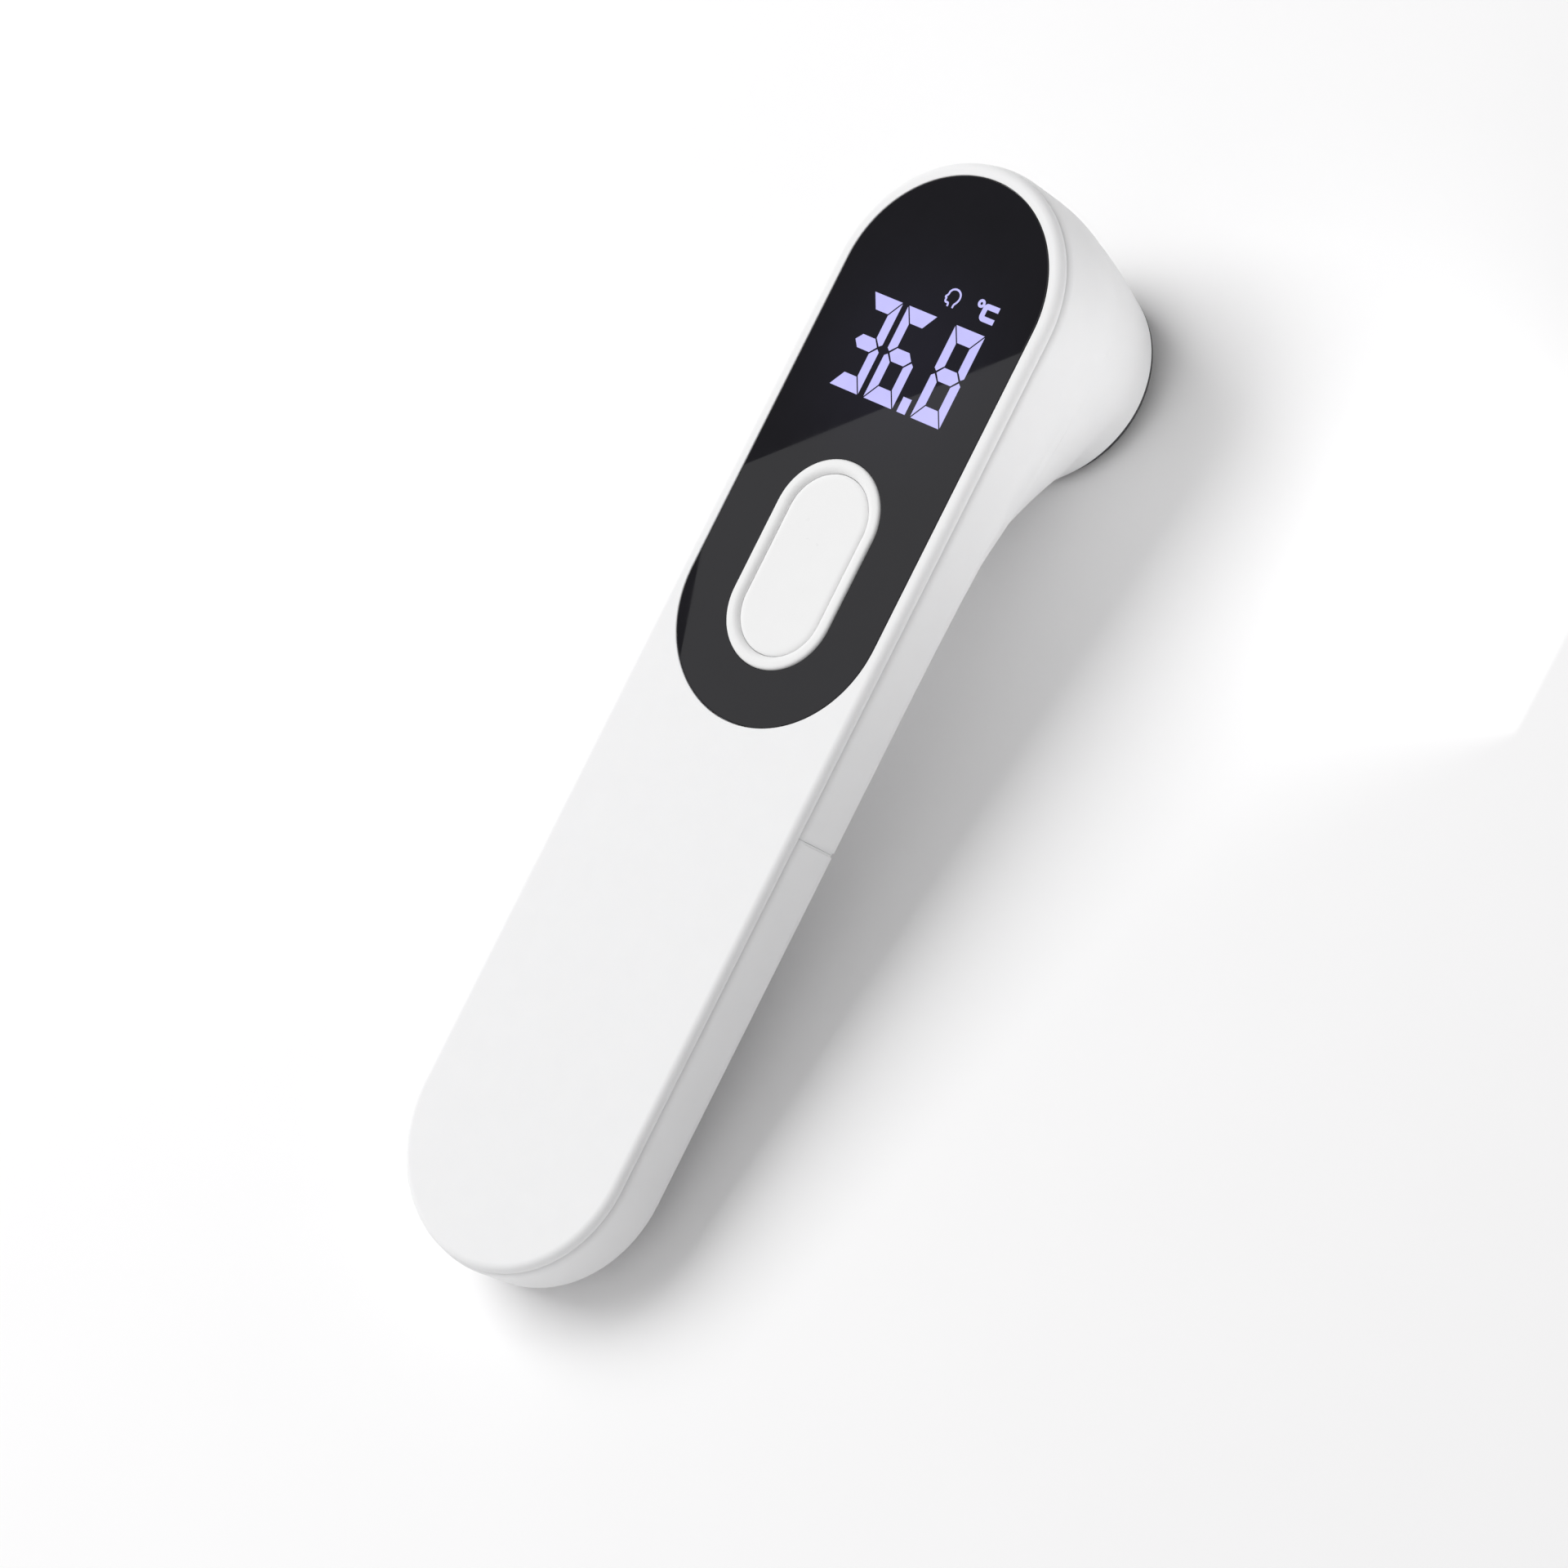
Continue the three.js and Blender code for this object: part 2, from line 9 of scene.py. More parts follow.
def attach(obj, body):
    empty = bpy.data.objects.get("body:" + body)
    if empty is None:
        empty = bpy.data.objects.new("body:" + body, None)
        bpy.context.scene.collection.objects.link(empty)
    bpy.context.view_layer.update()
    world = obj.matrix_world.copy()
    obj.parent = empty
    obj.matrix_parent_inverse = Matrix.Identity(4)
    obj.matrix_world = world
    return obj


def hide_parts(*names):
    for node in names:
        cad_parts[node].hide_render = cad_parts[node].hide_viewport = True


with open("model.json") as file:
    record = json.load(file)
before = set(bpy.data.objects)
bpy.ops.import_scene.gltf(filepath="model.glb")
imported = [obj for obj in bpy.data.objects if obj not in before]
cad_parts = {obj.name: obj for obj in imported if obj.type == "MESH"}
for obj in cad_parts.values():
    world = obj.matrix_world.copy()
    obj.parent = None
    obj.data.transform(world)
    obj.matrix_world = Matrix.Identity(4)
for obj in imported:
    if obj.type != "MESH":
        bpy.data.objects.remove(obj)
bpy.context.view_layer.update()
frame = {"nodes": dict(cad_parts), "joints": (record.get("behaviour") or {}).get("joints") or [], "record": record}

# ---------------------------------------------------------------- frame
# Millimetres in the casing's own frame: X across, Y to the head, Z out of the display face.
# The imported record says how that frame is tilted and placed.
record = frame["record"]
key_axis = next(j for j in frame["joints"] if j["name"] == "button_press")["axis"]
TILT = math.atan2(key_axis[1], -key_axis[2])
rim_mount = next(m for m in record["mounts"] if m["name"] == "snout_rim")["pos_m"]
RIM_POINT = Vector((13.6, 22.9, -31.5))
MM = 0.001
TURN = Matrix.Rotation(TILT, 4, "X")
PLACE = Matrix.Translation(Vector(rim_mount) - (TURN @ (RIM_POINT * MM))) @ TURN

# Casing
CASE_R = 19.0
FACE_R = 18.65
HEAD_Y = 23.1
TAIL_Y = -100.3
EDGE_R = 1.2
WALL = 1.5
PARTING_Z = -1.3
SEAM_Y = -49.35
SEAM_GAP = 0.06
FRAME_R = 17.2
FRAME_INNER_R = 15.2
FRAME_TOP = PARTING_Z - 0.3
FRAME_Z = -3.3
PLATE_R = 16.6
PLATE_Y = -106.6
PLATE_Z = -5.0
BAY_WALL_Y = (SEAM_Y + 0.95, SEAM_Y + 2.15)
BAY_WALL_Z = (-13.6, -3.0)
# Rounded upper edge of the sides, and their lower edge towards the flat back, as (inset, z)
SHOULDER = [(0.62, -1.36), (0.5, -1.42), (0.36, -1.52), (0.24, -1.66), (0.14, -1.85), (0.06, -2.1),
            (0.02, -2.4), (0.0, -2.8)]
BACK = [(0, -8.5), (0.2, -9.3), (0.7, -10.05), (1.7, -11.1), (3.5, -12.5), (6.0, -13.7), (9.0, -14.4)]
# Snout
SNOUT_Y = 22.9
SNOUT_DEPTH = 31.5
RIM_HEIGHT = 0.95
# Radius of the snout at each depth
SNOUT_R = [(9.0, 19.0), (11.6, 18.86), (13.2, 18.67), (14.4, 18.5), (17.0, 18.18), (19.8, 17.66),
           (22.3, 17.14), (24.8, 16.59), (27.2, 15.95), (29.4, 15.33), (SNOUT_DEPTH, 14.93)]
HORN_R = 106.0
HORN_DEPTH = 14.4
HORN_LENGTH = 53
STRAIGHT_LENGTH = 70
SIDE_STEPS = 44
TAIL_STEPS = 12
# Window and button
WINDOW_R = 16.52
WINDOW_HALF = 23.09
WINDOW_TOP = -0.05
KEY_Y = -16.8
RING_R = 8.53
RING_HALF = 6.46
BUTTON_GAP = 0.3
DISPLAY_HOLE = (-12.8, 12.8, 4.2, 27.6)
# Battery bay
CELL_X = 5.55
CELL_Z = -7.6
CELL_LENGTH = 44.5
BAY_HEAD_Y = -52.6
BAY_TAIL_Y = -103.6
TAIL_SCREW_Y = -111.0
LEAD_X = 9.0
LEAD_Z = -10.8
LEAD_HOLE_R = 1.0
CONTACT_T = 0.25
CELL_GAP = 0.3
TRAY_END = 1.3
LEAD_R = 0.55
# Screws
BOARD_SCREWS = [(-11.6, 0.5), (11.6, 0.5), (-11.6, -41.5), (11.6, -41.5)]
BOSS_R = 2.1
TAIL_BOSS_R = 2.6
PILOT_R = 1.25
# Thumb ribs of the battery cover
RIB_R = 0.55
RIB_COUNT = 5
RIB_PITCH = 2.6
RIB_FIRST = 10.85
RIB_LENGTH = 13
RIB_SHORTENING = 1.6
SEGMENTS = 72


# ---------------------------------------------------------------- mesh helpers
def put(mesh, name, body="casing", replaces=(), angle=32.0, weighted=True):
    """Make the mesh a piece: move it to its place in the row frame, finish it and let it ride."""
    mesh.transform(PLACE)
    ob = bpy.data.objects.new(name, mesh)
    bpy.context.scene.collection.objects.link(ob)
    finish_mesh(ob, angle, weighted)
    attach(ob, body)
    if replaces:
        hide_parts(*replaces)
    return ob


def finish_mesh(ob, angle, weighted):
    """Weld the mesh, face it outwards and shade it smooth up to the angle."""
    me = ob.data
    bm = bmesh.new()
    bm.from_mesh(me)
    bmesh.ops.remove_doubles(bm, verts=bm.verts, dist=1e-6)
    bmesh.ops.dissolve_degenerate(bm, edges=bm.edges, dist=1e-7)
    bmesh.ops.recalc_face_normals(bm, faces=bm.faces)
    bm.to_mesh(me)
    bm.free()
    me.shade_smooth()
    me.set_sharp_from_angle(angle=math.radians(angle))
    if weighted:
        mod = ob.modifiers.new("normals", "WEIGHTED_NORMAL")
        mod.keep_sharp = True
        mod.weight = 50


def mesh_of(verts, faces, name="part"):
    """Mesh in metres from points in millimetres."""
    me = bpy.data.meshes.new(name)
    me.from_pydata([tuple(c * MM for c in v) for v in verts], [], faces)
    me.validate()
    me.update()
    return me


def loft(rings, name="part"):
    """Closed mesh through rings of equally many points, from the highest ring to the lowest."""
    n = len(rings[0])
    verts = [p for ring in rings for p in ring]
    faces = []
    for k in range(len(rings) - 1):
        for i in range(n):
            j = (i + 1) % n
            faces.append((k * n + i, (k + 1) * n + i, (k + 1) * n + j, k * n + j))
    faces.append(tuple(range(n)))
    last = (len(rings) - 1) * n
    faces.append(tuple(last + i for i in reversed(range(n))))
    return mesh_of(verts, faces, name)


def boolean(mesh, other, operation):
    """Exact boolean of two meshes, with their bent quads split first so that no crack is left."""
    a = bpy.data.objects.new("a", mesh)
    b = bpy.data.objects.new("b", other)
    for ob in (a, b):
        bpy.context.scene.collection.objects.link(ob)
        bm = bmesh.new()
        bm.from_mesh(ob.data)
        bmesh.ops.triangulate(bm, faces=[f for f in bm.faces if len(f.verts) == 4])
        bmesh.ops.recalc_face_normals(bm, faces=bm.faces)
        bm.to_mesh(ob.data)
        bm.free()
    mod = a.modifiers.new("cut", "BOOLEAN")
    mod.operation = operation
    mod.solver = "EXACT"
    mod.object = b
    bpy.context.view_layer.update()
    graph = bpy.context.evaluated_depsgraph_get()
    result = bpy.data.meshes.new_from_object(a.evaluated_get(graph))
    bpy.data.objects.remove(a)
    bpy.data.objects.remove(b)
    return result


def minus(mesh, *others):
    for other in others:
        mesh = boolean(mesh, other, "DIFFERENCE")
    return mesh


def plus(mesh, *others):
    for other in others:
        mesh = boolean(mesh, other, "UNION")
    return mesh


def common(mesh, other):
    return boolean(mesh, other, "INTERSECT")


def stadium(r, tail_y, head_y, z, segments=SEGMENTS):
    """Ring of a slot's outline: two half circles about tail_y and head_y."""
    ring = []
    for centre, start in ((head_y, 0.0), (tail_y, math.pi)):
        for i in range(segments + 1):
            a = start + math.pi * i / segments
            ring.append((r * math.cos(a), centre + r * math.sin(a), z))
    return ring


def stadium_loft(profile, y, half, segments=SEGMENTS):
    """Stadium piece about y: profile of (radius of the round ends, z), from the top down."""
    return loft([stadium(r, y - half, y + half, z, segments) for r, z in profile])


def block(x0, x1, y0, y1, z0, z1):
    ring = [(x0, y0), (x1, y0), (x1, y1), (x0, y1)]
    return loft([[(x, y, z) for x, y in ring] for z in (z1, z0)])


def rounded_block(x0, x1, y0, y1, z0, z1, r, edge=0.15, steps=6, flip=False):
    """Box with rounded corners in plan and softened top and bottom edges; flip swaps Y and Z."""
    corners = ((x1 - r, y1 - r, 0), (x0 + r, y1 - r, 90), (x0 + r, y0 + r, 180), (x1 - r, y0 + r, 270))

    def outline(inset, z):
        ring = []
        for cx, cy, start in corners:
            for i in range(steps + 1):
                a = math.radians(start + 90 * i / steps)
                ring.append((cx + (r - inset) * math.cos(a), cy + (r - inset) * math.sin(a), z))
        return ring

    turns = [math.pi / 8 * k for k in range(5)]
    ease = [(edge * (1 - math.sin(a)), edge * (1 - math.cos(a))) for a in turns]
    rings = [outline(inset, z1 - drop) for inset, drop in ease]
    rings += [outline(inset, z0 + drop) for inset, drop in reversed(ease)]
    if flip:
        rings = [[(x, z, y) for x, y, z in ring] for ring in rings]
    return loft(rings)


def turned(x, y, profile, segments=96, axis="Z", name="part"):
    """Turned piece: profile of (radius, height), closed on itself or ending on the axis."""
    closed = profile[0] == profile[-1]
    points = profile[:-1] if closed else profile
    verts = []
    rows = []
    for r, h in points:
        if r < 1e-9:
            rows.append([len(verts)] * segments)
            verts.append((0.0, 0.0, h))
        else:
            rows.append(list(range(len(verts), len(verts) + segments)))
            for i in range(segments):
                a = 2 * math.pi * i / segments
                verts.append((r * math.cos(a), r * math.sin(a), h))
    pairs = list(zip(rows, rows[1:]))
    if closed:
        pairs.append((rows[-1], rows[0]))
    faces = []
    for low, high in pairs:
        for i in range(segments):
            j = (i + 1) % segments
            quad = []
            for v in (low[i], low[j], high[j], high[i]):
                if v not in quad:
                    quad.append(v)
            if len(quad) > 2:
                faces.append(tuple(quad))
    if axis == "Z":
        verts = [(x + v[0], y + v[1], v[2]) for v in verts]
    else:
        verts = [(x + v[0], v[2], y + v[1]) for v in verts]
    return mesh_of(verts, faces, name)


def rod(x, y, r, low, high, segments=48, axis="Z"):
    """Plain cylinder from low to high, for bosses, holes and seats."""
    return turned(x, y, [(0, low), (r, low), (r, high), (0, high)], segments, axis)


def rounded(profile, radius, steps=4):
    """The profile with each inner corner replaced by a short curve."""
    out = [profile[0]]
    for before, corner, after in zip(profile, profile[1:], profile[2:]):
        q = Vector(corner)
        back = Vector(before) - q
        ahead = Vector(after) - q
        cut = min(radius, back.length * 0.45, ahead.length * 0.45)
        a = q + back.normalized() * cut
        b = q + ahead.normalized() * cut
        for k in range(steps + 1):
            t = k / steps
            out.append(tuple(a.lerp(q, t).lerp(q.lerp(b, t), t)))
    out.append(profile[-1])
    return out


def tube(points, r, sides=10, name="part"):
    """Round tube along points, with a steady frame."""
    pts = [Vector(p) for p in points]
    n = len(pts)
    verts = []
    up = Vector((0.13, 0.27, 0.95)).normalized()
    for i, p in enumerate(pts):
        d = (pts[min(i + 1, n - 1)] - pts[max(i - 1, 0)]).normalized()
        up = (up - d * up.dot(d)).normalized()
        other = d.cross(up)
        for k in range(sides):
            a = 2 * math.pi * k / sides
            verts.append(tuple(p + up * (r * math.cos(a)) + other * (r * math.sin(a))))
    faces = []
    for i in range(n - 1):
        for k in range(sides):
            m = (k + 1) % sides
            faces.append((i * sides + k, i * sides + m, (i + 1) * sides + m, (i + 1) * sides + k))
    faces.append(tuple(reversed(range(sides))))
    faces.append(tuple((n - 1) * sides + k for k in range(sides)))
    return mesh_of(verts, faces, name)


def smooth_line(points, steps):
    """Catmull-Rom curve through the points."""
    out = [tuple(points[0])]
    last = len(points) - 1
    for i in range(last):
        p0, p1, p2, p3 = (points[min(max(k, 0), last)] for k in (i - 1, i, i + 1, i + 2))
        for k in range(1, steps + 1):
            t = k / steps
            out.append(tuple(0.5 * (2 * b + (d - a) * t + (2 * a - 5 * b + 4 * d - e) * t * t
                                    + (3 * b - a - 3 * d + e) * t ** 3)
                             for a, b, d, e in zip(p0, p1, p2, p3)))
    return out


# ---------------------------------------------------------------- casing surfaces
def smooth_table(pairs, x):
    """Smooth curve through the pairs, level outside them."""
    n = len(pairs)
    if x <= pairs[0][0]:
        return pairs[0][1]
    if x >= pairs[-1][0]:
        return pairs[-1][1]
    i = max(k for k in range(n - 1) if pairs[k][0] <= x)
    slope = []
    for k in (i, i + 1):
        a, b = pairs[max(k - 1, 0)], pairs[min(k + 1, n - 1)]
        slope.append((b[1] - a[1]) / (b[0] - a[0]))
    (xa, ya), (xb, yb) = pairs[i], pairs[i + 1]
    h = xb - xa
    t = (x - xa) / h
    return ((2 * t ** 3 - 3 * t * t + 1) * ya + (t ** 3 - 2 * t * t + t) * h * slope[0]
            + (3 * t * t - 2 * t ** 3) * yb + (t ** 3 - t * t) * h * slope[1])


def back_profile(steps=5):
    """The handle's lower edge as a smooth curve: (inset, z)."""
    return [(max(0.0, inset), z) for inset, z in smooth_line(BACK, steps)]


def horn_reach(depth):
    """How far towards the tail the snout reaches from its axis."""
    rim_y = SNOUT_Y - smooth_table(SNOUT_R, SNOUT_DEPTH)
    rise = 1 - (SNOUT_DEPTH - HORN_DEPTH) / HORN_R
    level = 1 - max(0.0, depth - HORN_DEPTH) / HORN_R
    return SNOUT_Y - (rim_y - HORN_R * (math.sqrt(1 - rise * rise) - math.sqrt(1 - level * level)))


def horn_power(depth):
    """Roundness of the snout's tail side: almost pointed at the handle, circular at the rim."""
    late = min(1.0, max(0.0, (depth - 26) / (SNOUT_DEPTH - 26)))
    return 1.55 + 0.45 * late * late


def horn_width(depth, r, along, reach):
    """Half width of the snout at a distance along from its axis towards the tail."""
    t = min(1.0, max(0.0, along / reach))
    power = horn_power(depth)
    return r * (1 - t ** power) ** (1 / power)


# Stations along the sides, from the head to the tail
SIDE_STATIONS = [HEAD_Y - HORN_LENGTH * j / SIDE_STEPS for j in range(1, SIDE_STEPS + 1)]
SIDE_STATIONS += [HEAD_Y - HORN_LENGTH - STRAIGHT_LENGTH * j / (TAIL_STEPS + 0.4)
                  for j in range(1, TAIL_STEPS + 1)]


def handle_ring(r_head, r_tail, widths, z):
    """Outline with its own radius at each end and its own half width at each station of the sides."""
    ring = []
    for i in range(SEGMENTS + 1):
        a = math.pi * i / SEGMENTS
        ring.append((r_head * math.cos(a), HEAD_Y + r_head * math.sin(a), z))
    ring += [(-w, y, z) for w, y in zip(widths, SIDE_STATIONS)]
    for i in range(SEGMENTS + 1):
        a = math.pi + math.pi * i / SEGMENTS
        ring.append((r_tail * math.cos(a), TAIL_Y + r_tail * math.sin(a), z))
    ring += [(w, y, z) for w, y in reversed(list(zip(widths, SIDE_STATIONS)))]
    return ring


def straight_ring(r, z):
    return handle_ring(r, r, [r] * len(SIDE_STATIONS), z)


def back_ring(inset, z, shrink):
    """Outline of the casing's back at one level, widening towards the head to meet the snout."""
    depth = -z
    r_tail = CASE_R - inset - shrink
    r_head = smooth_table(SNOUT_R, depth) - shrink
    flat = CASE_R - BACK[-1][0]
    full = smooth_table(SNOUT_R, HORN_DEPTH)
    late = max(0.0, (depth - 12.5) / (HORN_DEPTH - 12.5))
    widths = []
    for y in SIDE_STATIONS:
        horn = horn_width(HORN_DEPTH, full, SNOUT_Y - y, horn_reach(HORN_DEPTH))
        share = max(0.0, (horn - flat) / (full - flat)) ** (2 - late)
        widths.append(r_tail + (r_head - r_tail) * share)
    return handle_ring(r_head, r_tail, widths, z + shrink)


def snout_ring(depth, shrink, z):
    """Outline of the snout at a depth, with as many points as back_ring."""
    r = smooth_table(SNOUT_R, depth) - shrink
    reach = horn_reach(depth) - 1.6 * shrink
    first = max(0.0, 1 - (depth - HORN_DEPTH) / 4)
    share = first * HORN_LENGTH / horn_reach(depth) + (1 - first) * 0.8
    right = []
    for j in range(1, SIDE_STEPS + 1):
        along = share * reach * j / SIDE_STEPS
        right.append((horn_width(depth, r, along, reach), SNOUT_Y - along))
    rest = TAIL_STEPS + SEGMENTS // 2 + 1
    edge = right[-1][0]
    power = horn_power(depth)
    for j in range(1, rest):
        x = edge * math.cos(math.pi / 2 * j / (rest - 0.5))
        right.append((x, SNOUT_Y - reach * (1 - (x / r) ** power) ** (1 / power)))
    ring = []
    for i in range(SEGMENTS + 1):
        a = math.pi * i / SEGMENTS
        ring.append((r * math.cos(a), SNOUT_Y + r * math.sin(a), z))
    ring += [(-x, y, z) for x, y in right]
    ring.append((0.0, SNOUT_Y - reach, z))
    ring += [(x, y, z) for x, y in reversed(right)]
    return ring


def casing(shrink):
    """Outside of the rear shell and cover together, or their inside when shrink is the wall thickness."""
    if shrink > 0:
        rings = [straight_ring(CASE_R - shrink, 0.5)]
        end = -SNOUT_DEPTH - 1
    else:
        rings = [straight_ring(CASE_R - inset, z) for inset, z in SHOULDER]
        end = -SNOUT_DEPTH + RIM_HEIGHT
    rings += [back_ring(inset, z, shrink) for inset, z in back_profile()]
    levels = 26
    for k in range(levels + 1):
        depth = HORN_DEPTH + 0.05 + (SNOUT_DEPTH - HORN_DEPTH - 0.05) * (k / levels) ** 1.15
        rings.append(snout_ring(depth, shrink, end if k == levels else shrink - depth))
    return loft(rings, "casing")


# ---------------------------------------------------------------- materials
def noise(nodes, links, place, scale, detail=2.0, stretch=None):
    """Noise in the object's own coordinates, longer along one axis where stretch says so."""
    node = nodes.new("ShaderNodeTexNoise")
    node.inputs["Scale"].default_value = scale
    node.inputs["Detail"].default_value = detail
    source = place.outputs["Object"]
    if stretch:
        mapping = nodes.new("ShaderNodeMapping")
        mapping.inputs["Scale"].default_value = stretch
        links.new(source, mapping.inputs["Vector"])
        source = mapping.outputs["Vector"]
    links.new(source, node.inputs["Vector"])
    return node


def spread(nodes, links, source, low, high, start=0.3, end=0.7):
    """Value that goes from low to high as the source goes from start to end."""
    node = nodes.new("ShaderNodeMapRange")
    node.inputs["From Min"].default_value = start
    node.inputs["From Max"].default_value = end
    node.inputs["To Min"].default_value = low
    node.inputs["To Max"].default_value = high
    links.new(source, node.inputs["Value"])
    return node.outputs["Result"]


def material(name, colour, roughness, metallic=0.0, coat=0.0, specular=0.5, mottling=0.02, grain=0.0,
             grain_scale=9000.0, wear=0.0, rough_spread=0.05, subsurface=0.0, coarse=300.0, stretch=None):
    """Plastic or metal with fine grain, slight mottling, handling marks in its polish and rubbed edges."""
    mat = bpy.data.materials.new(name)
    mat.use_nodes = True
    nodes, links = mat.node_tree.nodes, mat.node_tree.links
    shader = nodes["Principled BSDF"]
    shader.inputs["Metallic"].default_value = metallic
    shader.inputs["Coat Weight"].default_value = coat
    shader.inputs["Coat Roughness"].default_value = 0.06
    shader.inputs["Specular IOR Level"].default_value = specular
    if subsurface:
        shader.inputs["Subsurface Weight"].default_value = subsurface
        shader.inputs["Subsurface Radius"].default_value = (0.002, 0.0018, 0.0016)
        shader.inputs["Subsurface Scale"].default_value = 0.4
    place = nodes.new("ShaderNodeTexCoord")
    cloud = noise(nodes, links, place, coarse, 5.0, stretch)
    ramp = nodes.new("ShaderNodeValToRGB")
    ramp.color_ramp.elements[0].position = 0.3
    ramp.color_ramp.elements[1].position = 0.7
    ramp.color_ramp.elements[0].color = (*[c * (1 - mottling) for c in colour], 1)
    ramp.color_ramp.elements[1].color = (*[min(1.0, c * (1 + mottling)) for c in colour], 1)
    links.new(cloud.outputs["Fac"], ramp.inputs["Fac"])
    colour_out = ramp.outputs["Color"]
    if wear:
        geometry = nodes.new("ShaderNodeNewGeometry")
        edge = spread(nodes, links, geometry.outputs["Pointiness"], 0.0, wear, 0.52, 0.6)
        mix = nodes.new("ShaderNodeMix")
        mix.data_type = "RGBA"
        links.new(edge, mix.inputs["Factor"])
        links.new(colour_out, mix.inputs["A"])
        mix.inputs["B"].default_value = (*[min(1.0, c * 1.2 + 0.04) for c in colour], 1)
        colour_out = mix.outputs["Result"]
    links.new(colour_out, shader.inputs["Base Color"])
    smudge = noise(nodes, links, place, 85.0, 4.0)
    smoothest = max(0.0, roughness - rough_spread)
    polish = spread(nodes, links, cloud.outputs["Fac"], smoothest, roughness + rough_spread)
    rub = spread(nodes, links, smudge.outputs["Fac"], 0.0, rough_spread, 0.5, 0.75)
    total = nodes.new("ShaderNodeMath")
    links.new(polish, total.inputs[0])
    links.new(rub, total.inputs[1])
    links.new(total.outputs["Value"], shader.inputs["Roughness"])
    if grain:
        speckle = noise(nodes, links, place, grain_scale, 2.0, stretch)
        bump = nodes.new("ShaderNodeBump")
        bump.inputs["Strength"].default_value = grain
        bump.inputs["Distance"].default_value = 0.00002
        links.new(speckle.outputs["Fac"], bump.inputs["Height"])
        links.new(bump.outputs["Normal"], shader.inputs["Normal"])
    return mat


BRUSHED = (1.0, 0.04, 1.0)
WHITE = material("white_casing", (0.86, 0.86, 0.865), 0.38, grain=0.3, mottling=0.006, subsurface=0.05)
KEY_WHITE = material("button_white", (0.855, 0.855, 0.855), 0.32, grain=0.25, mottling=0.006,
                     grain_scale=7000.0)
INNER = material("inner_white", (0.8, 0.8, 0.78), 0.55, grain=0.4, mottling=0.02)
BLACK = material("dark_moulding", (0.03, 0.03, 0.032), 0.5, grain=0.5, mottling=0.1, wear=0.3)
STEEL = material("contact_metal", (0.72, 0.72, 0.72), 0.28, metallic=1.0, grain=0.25, mottling=0.04,
                 stretch=BRUSHED, wear=0.2)
ZINC = material("screw_metal", (0.55, 0.56, 0.58), 0.33, metallic=1.0, grain=0.3, mottling=0.06, wear=0.3)
MIRROR = material("reflector_metal", (0.85, 0.85, 0.86), 0.12, metallic=1.0, mottling=0.02,
                  rough_spread=0.04)
GOLD = material("sensor_metal", (0.83, 0.62, 0.28), 0.22, metallic=1.0, mottling=0.03, grain=0.1)
FILTER = material("sensor_filter", (0.06, 0.055, 0.07), 0.12, metallic=0.6, mottling=0.08)
BOARD = material("circuit_board", (0.02, 0.16, 0.06), 0.35, grain=0.3, mottling=0.12, coarse=900.0)
WRAP = material("cell_wrap", (0.04, 0.13, 0.42), 0.25, mottling=0.03, coat=0.2, grain=0.15,
                grain_scale=2500.0, stretch=(1.0, 0.1, 1.0), wear=0.25)
RED = material("lead_red", (0.5, 0.02, 0.02), 0.45, mottling=0.05, grain=0.2)
LEAD_BLACK = material("lead_black", (0.02, 0.02, 0.02), 0.45, mottling=0.1, grain=0.2)
CHIP = material("chip_black", (0.022, 0.022, 0.024), 0.6, grain=0.7, mottling=0.15)


def lit(name, colour, strength):
    """Lit segment under the polished window: its glow is a little uneven across the light guide."""
    mat = bpy.data.materials.new(name)
    mat.use_nodes = True
    nodes, links = mat.node_tree.nodes, mat.node_tree.links
    shader = nodes["Principled BSDF"]
    shader.inputs["Base Color"].default_value = (0.05, 0.05, 0.06, 1)
    shader.inputs["Roughness"].default_value = 0.04
    shader.inputs["Emission Strength"].default_value = strength
    cloud = noise(nodes, links, nodes.new("ShaderNodeTexCoord"), 380.0)
    ramp = nodes.new("ShaderNodeValToRGB")
    ramp.color_ramp.elements[0].position = 0.3
    ramp.color_ramp.elements[1].position = 0.75
    ramp.color_ramp.elements[0].color = (*[c * 0.95 for c in colour], 1)
    ramp.color_ramp.elements[1].color = (*colour, 1)
    links.new(cloud.outputs["Fac"], ramp.inputs["Fac"])
    links.new(ramp.outputs["Color"], shader.inputs["Emission Color"])
    return mat


def smoked(name, glow_centre, glow_radius):
    """Smoked, polished window, with a faint emission around the digits for the display's glow."""
    mat = material(name, (0.0075, 0.0072, 0.0096), 0.012, mottling=0.05, rough_spread=0.006, coat=0.3)
    nodes, links = mat.node_tree.nodes, mat.node_tree.links
    shader = nodes["Principled BSDF"]
    shader.inputs["Coat Roughness"].default_value = 0.01
    shader.inputs["Emission Color"].default_value = (0.5, 0.47, 0.9, 1)
    distance = nodes.new("ShaderNodeVectorMath")
    distance.operation = "DISTANCE"
    links.new(nodes["Texture Coordinate"].outputs["Object"], distance.inputs[0])
    distance.inputs[1].default_value = PLACE @ (Vector(glow_centre) * MM)
    fade = nodes.new("ShaderNodeMapRange")
    fade.interpolation_type = "SMOOTHSTEP"
    fade.inputs["From Max"].default_value = glow_radius * MM
    fade.inputs["To Min"].default_value = 0.011
    fade.inputs["To Max"].default_value = 0.0
    links.new(distance.outputs["Value"], fade.inputs["Value"])
    links.new(fade.outputs["Result"], shader.inputs["Emission Strength"])
    return mat


LIT = lit("lit_segment", (0.55, 0.53, 0.97), 1.0)
WINDOW = smoked("window", (0.0, 13.0, 0.0), 22.0)


def paint(ob, mat):
    ob.data.materials.clear()
    ob.data.materials.append(mat)
    return ob


# ---------------------------------------------------------------- casing pieces
FAR = 60  # past the casing on every side


